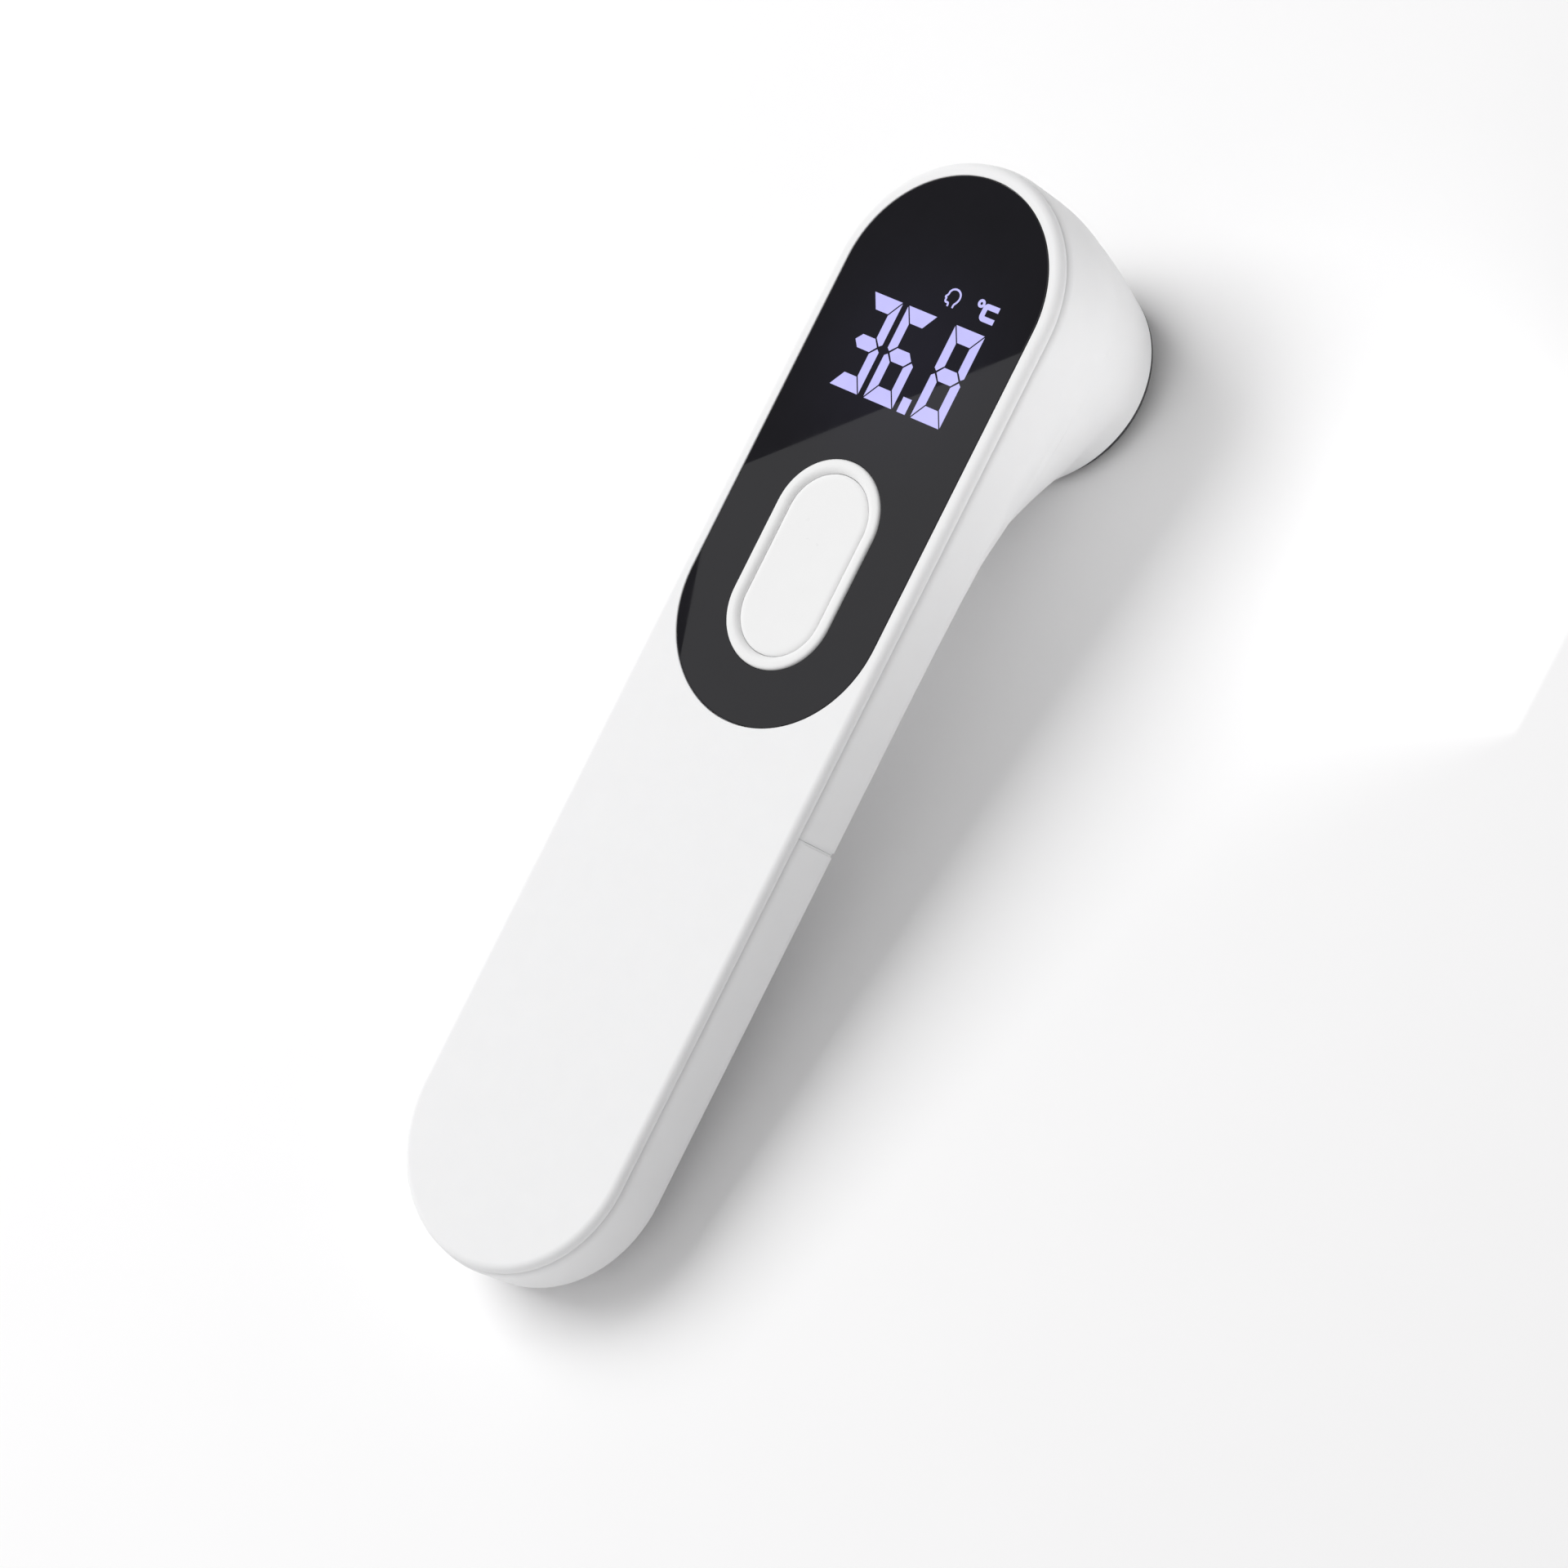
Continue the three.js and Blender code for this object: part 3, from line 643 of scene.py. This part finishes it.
def quarter(r, steps):
    """Rounded edge from the face down: (inset, z)."""
    turns = [math.pi / 2 * i / steps for i in range(steps + 1)]
    return [(r * (1 - math.sin(a)), -r * (1 - math.cos(a))) for a in turns]


def make_front_shell():
    """Rounded edge, flat face, seat for the window and the openings behind it."""
    rim = quarter(EDGE_R, 14) + [(0.03, -1.24), (0.12, PARTING_Z)]
    body = loft([stadium(FACE_R - inset, TAIL_Y, HEAD_Y, z) for inset, z in rim])
    tongue = loft([stadium(FRAME_R, TAIL_Y, HEAD_Y, z) for z in (-0.9, -2.8)])
    body = plus(body, common(tongue, block(-FAR, FAR, SEAM_Y + 3.3, FAR, -5, 5)))
    seat = [(0.57, 0.3), (0.26, 0.0), (0.18, -0.04), (0.12, -0.12), (0.12, -1.06)]
    body = minus(body, stadium_loft([(WINDOW_R + o, z) for o, z in seat], 0, WINDOW_HALF))
    body = minus(body, block(*DISPLAY_HOLE, -4, 1))
    button_hole = [(RING_R + BUTTON_GAP, z) for z in (1, -4)]
    body = minus(body, stadium_loft(button_hole, KEY_Y, RING_HALF))
    for x, y in BOARD_SCREWS:
        body = plus(body, rod(x, y, BOSS_R, -7.8, -2.5))
        body = minus(body, rod(x, y, PILOT_R, -8.1, -4.0))
    body = plus(body, rod(0, TAIL_SCREW_Y, TAIL_BOSS_R, -3.2, -1.1))
    body = minus(body, rod(0, TAIL_SCREW_Y, PILOT_R, -4, -0.8))
    return paint(put(body, "front_shell_look", replaces=["front_shell"]), WHITE)


def seam_groove():
    """Cutter of flat diamond section for the seam's shallow chamfers, from side to side round the back."""
    depth = 0.3
    widening = 1.5
    side = [(CASE_R + 0.4, -0.9), (CASE_R - 0.05, -2.0), (CASE_R, -2.8), (CASE_R, -6.0)]
    side += [(CASE_R - inset, z) for inset, z in back_profile()]
    flat = [(x, BACK[-1][1]) for x in (6.0, 2.0, -2.0, -6.0)]
    outline = side + flat + [(-x, z) for x, z in reversed(side)]
    cutter = tube([(x, SEAM_Y, z) for x, z in outline], depth, sides=4)
    for vert in cutter.vertices:
        vert.co.y = SEAM_Y * MM + (vert.co.y - SEAM_Y * MM) * widening
    return cutter


def make_rear_shell():
    """Back of the head and snout, with the battery bay's frame, end wall and screw plate."""
    body = minus(casing(0), casing(WALL), block(-FAR, FAR, -2.5 * FAR, SEAM_Y + SEAM_GAP / 2, -40, 1))
    outer = loft([stadium(FRAME_R, TAIL_Y, HEAD_Y, z) for z in (FRAME_TOP, FRAME_Z)])
    inner = loft([stadium(FRAME_INNER_R, TAIL_Y + 0.5, HEAD_Y, z) for z in (1, -6)])
    bay_frame = common(minus(outer, inner), block(-FAR, FAR, -2.5 * FAR, BAY_WALL_Y[1], -9, 9))
    plate = loft([stadium(PLATE_R, TAIL_Y, HEAD_Y, z) for z in (FRAME_TOP - 0.05, PLATE_Z)])
    bay_frame = plus(bay_frame, common(plate, block(-FAR, FAR, -2.5 * FAR, PLATE_Y, -9, 9)))
    well = [(0, -8), (1.4, -8), (1.4, -3.5), (2.9, -3.5), (2.9, 0), (0, 0)]
    bay_frame = minus(bay_frame, turned(0, TAIL_SCREW_Y, well, 48))
    wall = common(block(-18.2, 18.2, *BAY_WALL_Y, *BAY_WALL_Z), casing(0.4))
    for x in (-LEAD_X, LEAD_X):
        wall = minus(wall, rod(x, LEAD_Z, LEAD_HOLE_R, SEAM_Y - 2, SEAM_Y + 5, 32, axis="Y"))
    body = minus(plus(body, bay_frame, wall), seam_groove())
    return paint(put(body, "rear_shell_look", replaces=["rear_shell"]), WHITE)


def make_battery_cover():
    """Back of the handle, with thumb ribs."""
    body = minus(casing(0), casing(WALL), block(-FAR, FAR, SEAM_Y - SEAM_GAP / 2, 2 * FAR, -40, 1))
    body = minus(body, seam_groove())
    r = RIB_R
    turns = [math.pi / 2 * k / 6 for k in range(1, 7)]
    for i in range(RIB_COUNT):
        half = (RIB_LENGTH - RIB_SHORTENING * i) / 2
        rib = [(0, -half - r)]
        rib += [(r * math.sin(a), -half - r * math.cos(a)) for a in turns]
        rib += [(r * math.sin(a), half + r * math.cos(a)) for a in reversed(turns)]
        rib += [(0, half + r)]
        bar = turned(0, 0, rib, 24)
        at = Vector((0, SEAM_Y - RIB_FIRST - RIB_PITCH * i, BACK[-1][1])) * MM
        bar.transform(Matrix.Translation(at) @ Matrix.Rotation(math.pi / 2, 4, "Y"))
        body = plus(body, bar)
    return paint(put(body, "battery_cover_look", "cover", ["battery_cover"]), WHITE)


def make_window():
    """Polished pane with eased edges, cut round the button's ring."""
    edge = [(0.12, WINDOW_TOP), (0.03, WINDOW_TOP - 0.03), (0.0, WINDOW_TOP - 0.12), (0.0, -1.0)]
    pane = stadium_loft([(WINDOW_R - inset, z) for inset, z in edge], 0, WINDOW_HALF, 96)
    lip = [(0.2, 0.2), (0.12, WINDOW_TOP), (0.05, WINDOW_TOP - 0.05), (0.05, -2)]
    pane = minus(pane, stadium_loft([(RING_R + o, z) for o, z in lip], KEY_Y, RING_HALF))
    return paint(put(pane, "display_window_look", replaces=["display_window"]), WINDOW)


def make_button():
    """Ring with a rounded crest and a soft slope down to the key, and the key's gently domed top."""
    outer = [(0.95, 0.33), (0.6, 0.345), (0.38, 0.32), (0.2, 0.24), (0.08, 0.12), (0.02, -0.03),
             (0.0, -0.2), (0.0, -3.4)]
    inner = [(7.9, 0.6), (7.62, 0.338), (7.4, 0.315), (7.2, 0.255), (7.02, 0.16), (6.87, 0.05),
             (6.75, -0.07), (6.66, -0.2), (6.61, -0.34), (6.6, -0.5), (6.6, -4)]
    ring = stadium_loft([(RING_R - i, z) for i, z in outer], KEY_Y, RING_HALF)
    ring = minus(ring, stadium_loft(inner, KEY_Y, RING_HALF))
    paint(put(ring, "button_ring_look", replaces=["button_ring"]), KEY_WHITE)
    top = [(1.2, -0.06), (3.0, -0.045), (4.6, -0.025), (5.4, -0.01), (5.75, -0.005), (5.98, -0.025),
           (6.16, -0.065), (6.32, -0.13), (6.45, -0.22), (6.53, -0.33), (6.56, -0.46), (6.56, -3.7),
           (6.56, -3.8), (7.7, -3.8), (7.7, -4.6)]
    key = stadium_loft(top, KEY_Y, RING_HALF)
    paint(put(key, "measure_button_look", "button_key", ["measure_button"]), KEY_WHITE)


# ---------------------------------------------------------------- snout and sensor
def turned_piece(name, profile, mat, radius=0.15, segments=128):
    """Turned piece on the snout's axis that stands for the node of the same name."""
    shape = rounded(profile, radius)
    mesh = turned(0, SNOUT_Y, shape, segments)
    return paint(put(mesh, name + "_look", replaces=[name]), mat)


def make_snout():
    """Rim, reflector and sensor."""
    rim_top = -SNOUT_DEPTH + 0.8
    rim = [(12.3, rim_top), (12.3, -31.5), (14.93, -31.5), (15.0, -30.8), (14.6, rim_top), (12.3, rim_top)]
    turned_piece("rim_ring", rim, BLACK, 0.22)
    # Reflector: a slightly hollow cone
    steps = 18
    inside = []
    for i in range(steps + 1):
        t = i / steps
        bulge = 0.35 * math.sin(math.pi * t)
        inside.append((5.2 + 6.7 * t + bulge, -20.7 - 9.6 * t))
    outside = [(r + 0.9 + 0.1 * i / steps, z) for i, (r, z) in enumerate(inside)][::-1]
    cup = inside + outside + [inside[0]]
    mesh = turned(0, SNOUT_Y, cup, 128)
    paint(put(mesh, "reflector_cup_look", replaces=["reflector_cup"]), MIRROR)
    can = [(0, -18.4), (4.0, -18.4), (4.2, -18.2), (4.2, -14.6), (4.6, -14.6), (4.6, -14.0), (0, -14.0)]
    turned_piece("sensor_can", can, GOLD, 0.12)
    disc = [(0, -19.1), (2.4, -19.1), (2.4, -18.7), (0, -18.7)]
    turned_piece("sensor_filter", disc, FILTER, 0.08)
    holder = [(5.8, -20.4), (6.6, -20.4), (6.6, -13.2), (8.4, -13.2), (8.4, -12.0), (5.0, -12.0),
              (5.0, -20.4), (5.8, -20.4)]
    turned_piece("sensor_holder", holder, BLACK, 0.2)


# ---------------------------------------------------------------- battery bay
def make_cell(name, x, nub_y, side):
    """Dry cell along Y: steel can with its nub, and a shrink wrap that folds in over both ends."""
    far = CELL_LENGTH
    can = [(0, 0), (1.9, 0), (1.9, 0.9), (4.3, 1.0), (5.02, 1.35), (5.02, far - 0.3), (4.6, far - 0.1),
           (3.4, far - 0.1), (3.1, far), (0, far)]
    can = rounded(can, 0.25)
    wrap = [(4.4, 1.16), (4.4, 0.95), (5.2, 1.1), (5.2, far - 0.05), (4.5, far), (4.5, far - 0.08),
            (5.06, far - 0.25), (5.06, 1.3), (4.4, 1.16)]
    wrap = rounded(wrap, 0.18)

    def along(profile):
        return [(r, nub_y + side * h) for r, h in profile]

    can_mesh = turned(x, CELL_Z, along(can), 72, axis="Y")
    paint(put(can_mesh, name + "_can"), STEEL)
    wrap_mesh = turned(x, CELL_Z, along(wrap), 96, axis="Y")
    paint(put(wrap_mesh, name + "_wrap", replaces=[name]), WRAP)


def make_spring(name, x, y0, y1):
    """Tapered compression spring of round wire, its end turns lying flat."""
    turns = 5.5
    steps = 260
    points = []
    for i in range(steps + 1):
        t = i / steps
        lift = min(1.0, max(0.0, (t * turns - 0.8) / (turns - 1.6)))
        a = 2 * math.pi * turns * t
        r = 3.4 - 1.1 * t
        points.append((x + r * math.cos(a), y0 + (y1 - y0) * lift, CELL_Z + r * math.sin(a)))
    mesh = tube(points, 0.24, sides=14)
    paint(put(mesh, name + "_look", replaces=[name], weighted=False, angle=60), STEEL)


def make_contact(name, x0, x1, y0, y1, pads):
    """Sprung plate with rounded corners and a pressed ring at each cell."""
    plate = rounded_block(x0, x1, -11.6, -4.0, y0, y1, 0.8, edge=0.06, flip=True)
    for x in pads:
        for face in (y0, y1):
            groove = [(2.5, face), (2.62, face - 0.07), (2.78, face - 0.07), (2.9, face),
                      (2.78, face + 0.07), (2.62, face + 0.07), (2.5, face)]
            plate = minus(plate, turned(x, CELL_Z, groove, 64, axis="Y"))
    paint(put(plate, name + "_look", replaces=[name]), STEEL)


def make_tray():
    """Open moulded tray: curved seats for both cells and pockets for the contacts at its ends."""
    y0 = BAY_TAIL_Y - 1.6
    y1 = BAY_HEAD_Y + 1.6
    inner_y0 = y0 + TRAY_END
    inner_y1 = y1 - TRAY_END
    body = rounded_block(-12.6, 12.6, y0, y1, -10.6, -3.6, 1.0, edge=0.3)
    body = minus(body, rounded_block(-11.2, 11.2, inner_y0, inner_y1, -14, -6.8, 0.5, edge=0.1))
    for x in (-CELL_X, CELL_X):
        body = minus(body, rod(x, CELL_Z, 5.42, inner_y0, inner_y1, 96, axis="Y"))
    for low, high in ((inner_y0, y0 + 2.2), (y1 - 2.2, inner_y1)):
        body = minus(body, block(-11.0, 11.0, low, high, -12, -3.75))
    paint(put(body, "battery_tray_look", replaces=["battery_tray"]), INNER)


def make_screw(name, x, y, head_z, tip_z):
    """Pan-head screw, head down, with a cross recess and threads on its shank."""
    pitch = 0.7
    profile = [(0, head_z - 1.3), (1.5, head_z - 1.3), (2.05, head_z - 1.12), (2.3, head_z - 0.75),
               (2.3, head_z - 0.05), (2.25, head_z), (0.95, head_z)]
    z = head_z + 0.5
    while z + pitch < tip_z - 0.3:
        profile += [(0.88, z), (1.1, z + pitch * 0.45), (1.1, z + pitch * 0.55), (0.88, z + pitch)]
        z += pitch
    profile += [(0.88, tip_z - 0.4), (0.5, tip_z), (0, tip_z)]
    mesh = turned(x, y, profile, 40)
    for dx, dy in ((1.25, 0.27), (0.27, 1.25)):
        arm = [(x - dx, y - dy), (x + dx, y - dy), (x + dx, y + dy), (x - dx, y + dy)]
        base = [(x + (px - x) * 0.6, y + (py - y) * 0.6) for px, py in arm]
        bottom = [(px, py, head_z - 0.55) for px, py in base]
        mouth = [(px, py, head_z - 2.0) for px, py in arm]
        mesh = minus(mesh, loft([bottom, mouth]))
    paint(put(mesh, name + "_look", replaces=[name]), ZINC)


def make_lead(name, x, mat):
    """Wire from a head contact through the bay's end wall towards the board."""
    route = smooth_line([(x, -50.6, LEAD_Z), (x, -47, -10.9), (x, -44.8, -10.6), (x, -42.5, -10.3)], 10)
    paint(put(tube(route, LEAD_R, sides=24), name + "_look", replaces=[name]), mat)


def make_battery_bay():
    """Two cells end for end, what touches and holds them, and the screws and leads."""
    make_cell("cell_left", -CELL_X, BAY_HEAD_Y - CELL_GAP, -1)
    make_cell("cell_right", CELL_X, BAY_TAIL_Y + CELL_GAP, 1)
    left_end = BAY_HEAD_Y - CELL_GAP - CELL_LENGTH
    right_end = BAY_TAIL_Y + CELL_GAP + CELL_LENGTH
    make_spring("spring_left", -CELL_X, BAY_TAIL_Y + 0.6, left_end - CELL_GAP)
    make_spring("spring_right", CELL_X, BAY_HEAD_Y - 0.6, right_end + CELL_GAP)
    make_contact("contact_tail", -10.4, 10.4, BAY_TAIL_Y, BAY_TAIL_Y + CONTACT_T, (-CELL_X, CELL_X))
    make_contact("contact_head_left", -10.2, -1.2, BAY_HEAD_Y - CONTACT_T, BAY_HEAD_Y, (-CELL_X,))
    make_contact("contact_head_right", 1.2, 10.2, BAY_HEAD_Y - CONTACT_T, BAY_HEAD_Y, (CELL_X,))
    make_tray()
    make_screw("tail_screw", 0, TAIL_SCREW_Y, -5.3, -1.6)
    for i, (x, y) in enumerate(BOARD_SCREWS):
        make_screw(f"board_screw_{i + 1}", x, y, -9.6, -4.6)
    make_lead("lead_positive", -LEAD_X, RED)
    make_lead("lead_negative", LEAD_X, LEAD_BLACK)


# ---------------------------------------------------------------- lit display
# Cells of the digits: lower left corners, width and height, bar widths, half the gap between bars
DIGIT_X = {"tens": -9.81, "units": -3.61, "tenths": 4.85}
DIGIT_W = 5.22
DIGIT_H = 13.56
DIGIT_Y = 6.57
STROKE_X = 1.40
STROKE_Y = 2.16
CUT = 0.125
GLASS = WINDOW_TOP + 0.006


def digit_segments(x, lit_names):
    """Seven mitred bars in a cell whose lower left corner is at x, DIGIT_Y."""
    w, h, sx, sy, g = DIGIT_W, DIGIT_H, STROKE_X, STROKE_Y, CUT
    mid = h / 2
    m = 0.97
    bars = {
        "a": [(g, h), (w - g, h), (w - sx - g, h - sy), (sx + g, h - sy)],
        "d": [(sx + g, sy), (w - sx - g, sy), (w - g, 0), (g, 0)],
        "g": [(0.55 + g, mid), (sx + g, mid + m), (w - sx - g, mid + m), (w - 0.55 - g, mid),
              (w - sx - g, mid - m), (sx + g, mid - m)],
        "f": [(0, h - g * 1.4), (sx, h - sy - g * 1.4), (sx, mid + m + 0.2), (0.45, mid + 0.2),
              (0, mid + 0.55)],
        "e": [(0, g * 1.4), (0, mid - 0.55), (0.45, mid - 0.2), (sx, mid - m - 0.2), (sx, sy + g * 1.4)],
    }
    for right, left in (("b", "f"), ("c", "e")):
        bars[right] = [(w - px, py) for px, py in reversed(bars[left])]
    return [[(x + px, DIGIT_Y + py) for px, py in bars[k]] for k in lit_names]


def inlay(outlines, name):
    """Thin lit inlays just proud of the window, all one mesh."""
    verts = []
    faces = []
    for outline in outlines:
        area = sum(a[0] * b[1] - b[0] * a[1] for a, b in zip(outline, outline[1:] + outline[:1]))
        pts = outline if area > 0 else outline[::-1]
        base, n = len(verts), len(pts)
        verts += [(x, y, GLASS) for x, y in pts] + [(x, y, GLASS - 0.03) for x, y in pts]
        faces.append(tuple(range(base, base + n)))
        faces.append(tuple(base + n + i for i in reversed(range(n))))
        faces += [(base + i, base + n + i, base + n + (i + 1) % n, base + (i + 1) % n) for i in range(n)]
    piece = put(mesh_of(verts, faces, name), name, weighted=False, angle=20)
    return paint(piece, LIT)


def ribbon(left, right, name, closed=False):
    """Thin lit inlay between two equally long rows of points, as one clean strip."""
    n = len(left)
    verts = [(x, y, z) for z in (GLASS, GLASS - 0.03) for row in (left, right) for x, y in row]
    faces = []
    for i in range(n if closed else n - 1):
        j = (i + 1) % n
        faces += [(i, j, n + j, n + i), (2 * n + j, 2 * n + i, 3 * n + i, 3 * n + j),
                  (j, i, 2 * n + i, 2 * n + j), (n + i, n + j, 3 * n + j, 3 * n + i)]
    if not closed:
        faces += [(0, n, 3 * n, 2 * n), (2 * n - 1, n - 1, 3 * n - 1, 4 * n - 1)]
    piece = put(mesh_of(verts, faces, name), name, weighted=False, angle=20)
    return paint(piece, LIT)


def arc(cx, cy, r, a0, a1, steps):
    """Points of an arc, its angles in degrees."""
    turns = [math.radians(a0 + (a1 - a0) * i / steps) for i in range(steps + 1)]
    return [(cx + r * math.cos(a), cy + r * math.sin(a)) for a in turns]


def stroke(points, half):
    """Both edges of a line of even width."""
    left, right = [], []
    for i, (x, y) in enumerate(points):
        before, after = points[max(i - 1, 0)], points[min(i + 1, len(points) - 1)]
        d = Vector((after[0] - before[0], after[1] - before[1])).normalized() * half
        left.append((x - d.y, y + d.x))
        right.append((x + d.y, y - d.x))
    return left, right


def make_display():
    """The lit number 36.8, its degree sign and unit, and the mark of a head."""
    inlay(digit_segments(DIGIT_X["tens"], "abcdg"), "digit_tens")
    inlay(digit_segments(DIGIT_X["units"], "acdefg"), "digit_units")
    inlay(digit_segments(DIGIT_X["tenths"], "abcdefg"), "digit_tenths")
    inlay([[(2.44, 6.57), (3.92, 6.57), (3.92, 8.74), (2.44, 8.74)]], "decimal_point")
    # Degree sign and C
    circle = [arc(7.08, 24.0, r, 0, 352.5, 47) for r in (0.6, 0.2)]
    ribbon(*circle, "degree_sign", closed=True)
    left, right, low, high, width = 7.6, 10.22, 21.79, 24.3, 0.78
    r = 0.75
    outside = [(right, high)] + arc(left + r, high - r, r, 90, 180, 8)
    outside += arc(left + r, low + r, r, 180, 270, 8) + [(right, low)]
    r = 0.1
    edge = left + width
    inside = [(right, high - width)] + arc(edge + r, high - width - r, r, 90, 180, 8)
    inside += arc(edge + r, low + width + r, r, 180, 270, 8) + [(right, low + width)]
    ribbon(outside, inside, "unit_letter")
    # Plain outline of a head, looking to the left
    head = [(3.0, 21.95), (3.02, 22.4), (3.32, 22.85), (3.5, 23.4), (3.38, 23.95), (2.98, 24.33),
            (2.42, 24.46), (1.88, 24.3), (1.55, 23.92), (1.48, 23.5), (1.22, 23.1), (1.42, 22.96),
            (1.42, 22.62), (1.6, 22.45), (2.02, 22.4), (2.12, 21.95)]
    ribbon(*stroke(smooth_line(head, 4), 0.14), "mode_mark")


make_front_shell()
make_rear_shell()
make_battery_cover()
make_window()
make_button()
make_snout()
make_battery_bay()
make_display()

# CAD nodes that keep their shape
KEPT = {
    "display_mask": BLACK, "display_housing": INNER, "switch_plunger": BLACK, "switch_body": STEEL,
    "main_board": BOARD, "sensor_board": BOARD, "controller_chip": CHIP, "memory_chip": CHIP,
    "buzzer": CHIP, "power_inductor": CHIP,
}
for node, mat in KEPT.items():
    for material_slot in frame["nodes"][node].material_slots:
        material_slot.material = mat


# ---------------------------------------------------------------- floor, light, camera
UNIT = 16.52  # the camera's place is given in half widths of the window
scene = bpy.context.scene
scene.view_settings.view_transform = "Standard"
scene.view_settings.look = "None"


def make_floor():
    """Plain pale floor, three metres to each side."""
    mesh = bpy.data.meshes.new("floor")
    reach = 3
    mesh.from_pydata([(-reach, -reach, 0), (reach, -reach, 0), (reach, reach, 0), (-reach, reach, 0)], [],
                     [(0, 1, 2, 3)])
    floor = bpy.data.objects.new("floor", mesh)
    scene.collection.objects.link(floor)
    paint(floor, material("floor", (0.94, 0.937, 0.94), 0.9, specular=0.1, mottling=0.003, coarse=40.0))


def body_direction(x, y, z):
    """A direction in the casing's own frame, turned into the row frame."""
    return (PLACE.to_3x3() @ Vector((x, y, z)).normalized()).normalized()


# Directions of the casing's own frame
MIRRORED = (-0.603, 0.08, 0.798)  # what the window mirrors
BEYOND_HEAD = (0.4, 0.9, 0.0)


def world_flag(nodes, links, direction, start, end, level, flag_level):
    """World strength that falls from level to flag_level towards a direction of the casing's own frame."""
    dot = nodes.new("ShaderNodeVectorMath")
    dot.operation = "DOT_PRODUCT"
    dot.inputs[1].default_value = body_direction(*direction)
    links.new(nodes.new("ShaderNodeTexCoord").outputs["Generated"], dot.inputs[0])
    flag = nodes.new("ShaderNodeMapRange")
    flag.interpolation_type = "SMOOTHSTEP"
    flag.inputs["From Min"].default_value = start
    flag.inputs["From Max"].default_value = end
    flag.inputs["To Min"].default_value = level
    flag.inputs["To Max"].default_value = flag_level
    links.new(dot.outputs["Value"], flag.inputs["Value"])
    return flag.outputs["Result"]


def make_world(level, flag_level):
    """Even grey studio, with a dark flag where the polished window looks and a dim side beyond the head."""
    world = bpy.data.worlds.new("studio")
    scene.world = world
    world.use_nodes = True
    nodes, links = world.node_tree.nodes, world.node_tree.links
    product = nodes.new("ShaderNodeMath")
    product.operation = "MULTIPLY"
    dark = world_flag(nodes, links, MIRRORED, 0.88, 0.95, level, flag_level)
    links.new(dark, product.inputs[0])
    dim = world_flag(nodes, links, BEYOND_HEAD, 0.3, 0.9, 1.0, 0.5)
    links.new(dim, product.inputs[1])
    background = nodes["Background"]
    background.inputs["Color"].default_value = (1.0, 0.997, 1.0, 1)
    links.new(product.outputs["Value"], background.inputs["Strength"])


def softbox(name, target, direction, distance, size, power, spread=180):
    """Square soft light in a direction from target, hidden from the camera and from reflections."""
    light = bpy.data.lights.new(name, "AREA")
    light.shape = "SQUARE"
    light.size = size
    light.energy = power
    light.spread = math.radians(spread)
    ob = bpy.data.objects.new(name, light)
    scene.collection.objects.link(ob)
    ob.visible_camera = False
    ob.visible_glossy = False
    aim = body_direction(*direction)
    at = (PLACE @ (Vector(target) * MM)) + aim * distance
    ob.matrix_world = Matrix.Translation(at) @ aim.to_track_quat("Z", "Y").to_matrix().to_4x4()


CAMERA_RIGHT = Vector((0.71608, 0.44824, -0.53508))
CAMERA_UP = Vector((-0.35224, 0.89386, 0.27740))
CAMERA_BACK = Vector((0.60263, -0.01016, 0.79796))
CAMERA_AT = Vector((27.116, -3.096, 34.828)) * UNIT


def seen_in_window(x, y, reach=1.1):
    """Point of the reflector that shows at x, y on the window, in half widths of the window."""
    mirror_eye = Vector((CAMERA_AT.x, CAMERA_AT.y, -CAMERA_AT.z))
    p = Vector((x, y, 0.0)) * UNIT
    return p + (p - mirror_eye) * reach


def make_reflector(strength):
    """Lit white board, placed for the rest camera, that the window mirrors below a slanting line."""
    corners = [seen_in_window(-1.21, -0.66), seen_in_window(16.2, 14.1), seen_in_window(42.0, -16.4),
               seen_in_window(12.0, -38.0)]
    mesh = bpy.data.meshes.new("window_board")
    mesh.from_pydata([tuple(PLACE @ (c * MM)) for c in corners], [], [(0, 1, 2, 3)])
    ob = bpy.data.objects.new("window_board", mesh)
    scene.collection.objects.link(ob)
    mat = bpy.data.materials.new("window_board")
    mat.use_nodes = True
    nodes, links = mat.node_tree.nodes, mat.node_tree.links
    nodes.remove(nodes["Principled BSDF"])
    emission = nodes.new("ShaderNodeEmission")
    emission.inputs["Strength"].default_value = strength
    links.new(emission.outputs["Emission"], nodes["Material Output"].inputs["Surface"])
    mesh.materials.append(mat)
    ob.visible_camera = False
    ob.visible_shadow = False


def make_camera():
    """Camera at the photograph's angle."""
    camera = bpy.data.cameras.new("camera")
    camera.lens = 127.37
    camera.sensor_width = 36.0
    camera.clip_start = 0.01
    ob = bpy.data.objects.new("camera", camera)
    scene.collection.objects.link(ob)
    basis = Matrix((CAMERA_RIGHT, CAMERA_UP, CAMERA_BACK)).transposed().to_4x4()
    ob.matrix_world = PLACE @ Matrix.Translation(CAMERA_AT * MM) @ basis
    scene.camera = ob


make_floor()
make_world(0.47, 0.1)
make_reflector(0.62)
softbox("key_light", (0, -30, 0), (-0.55, 0.14, 0.8), 1.2, 0.9, 12.0)
softbox("head_light", (18, 20, -20), (0.96, 0.08, 0.1), 0.07, 0.04, 0.0078, spread=120)
make_camera()
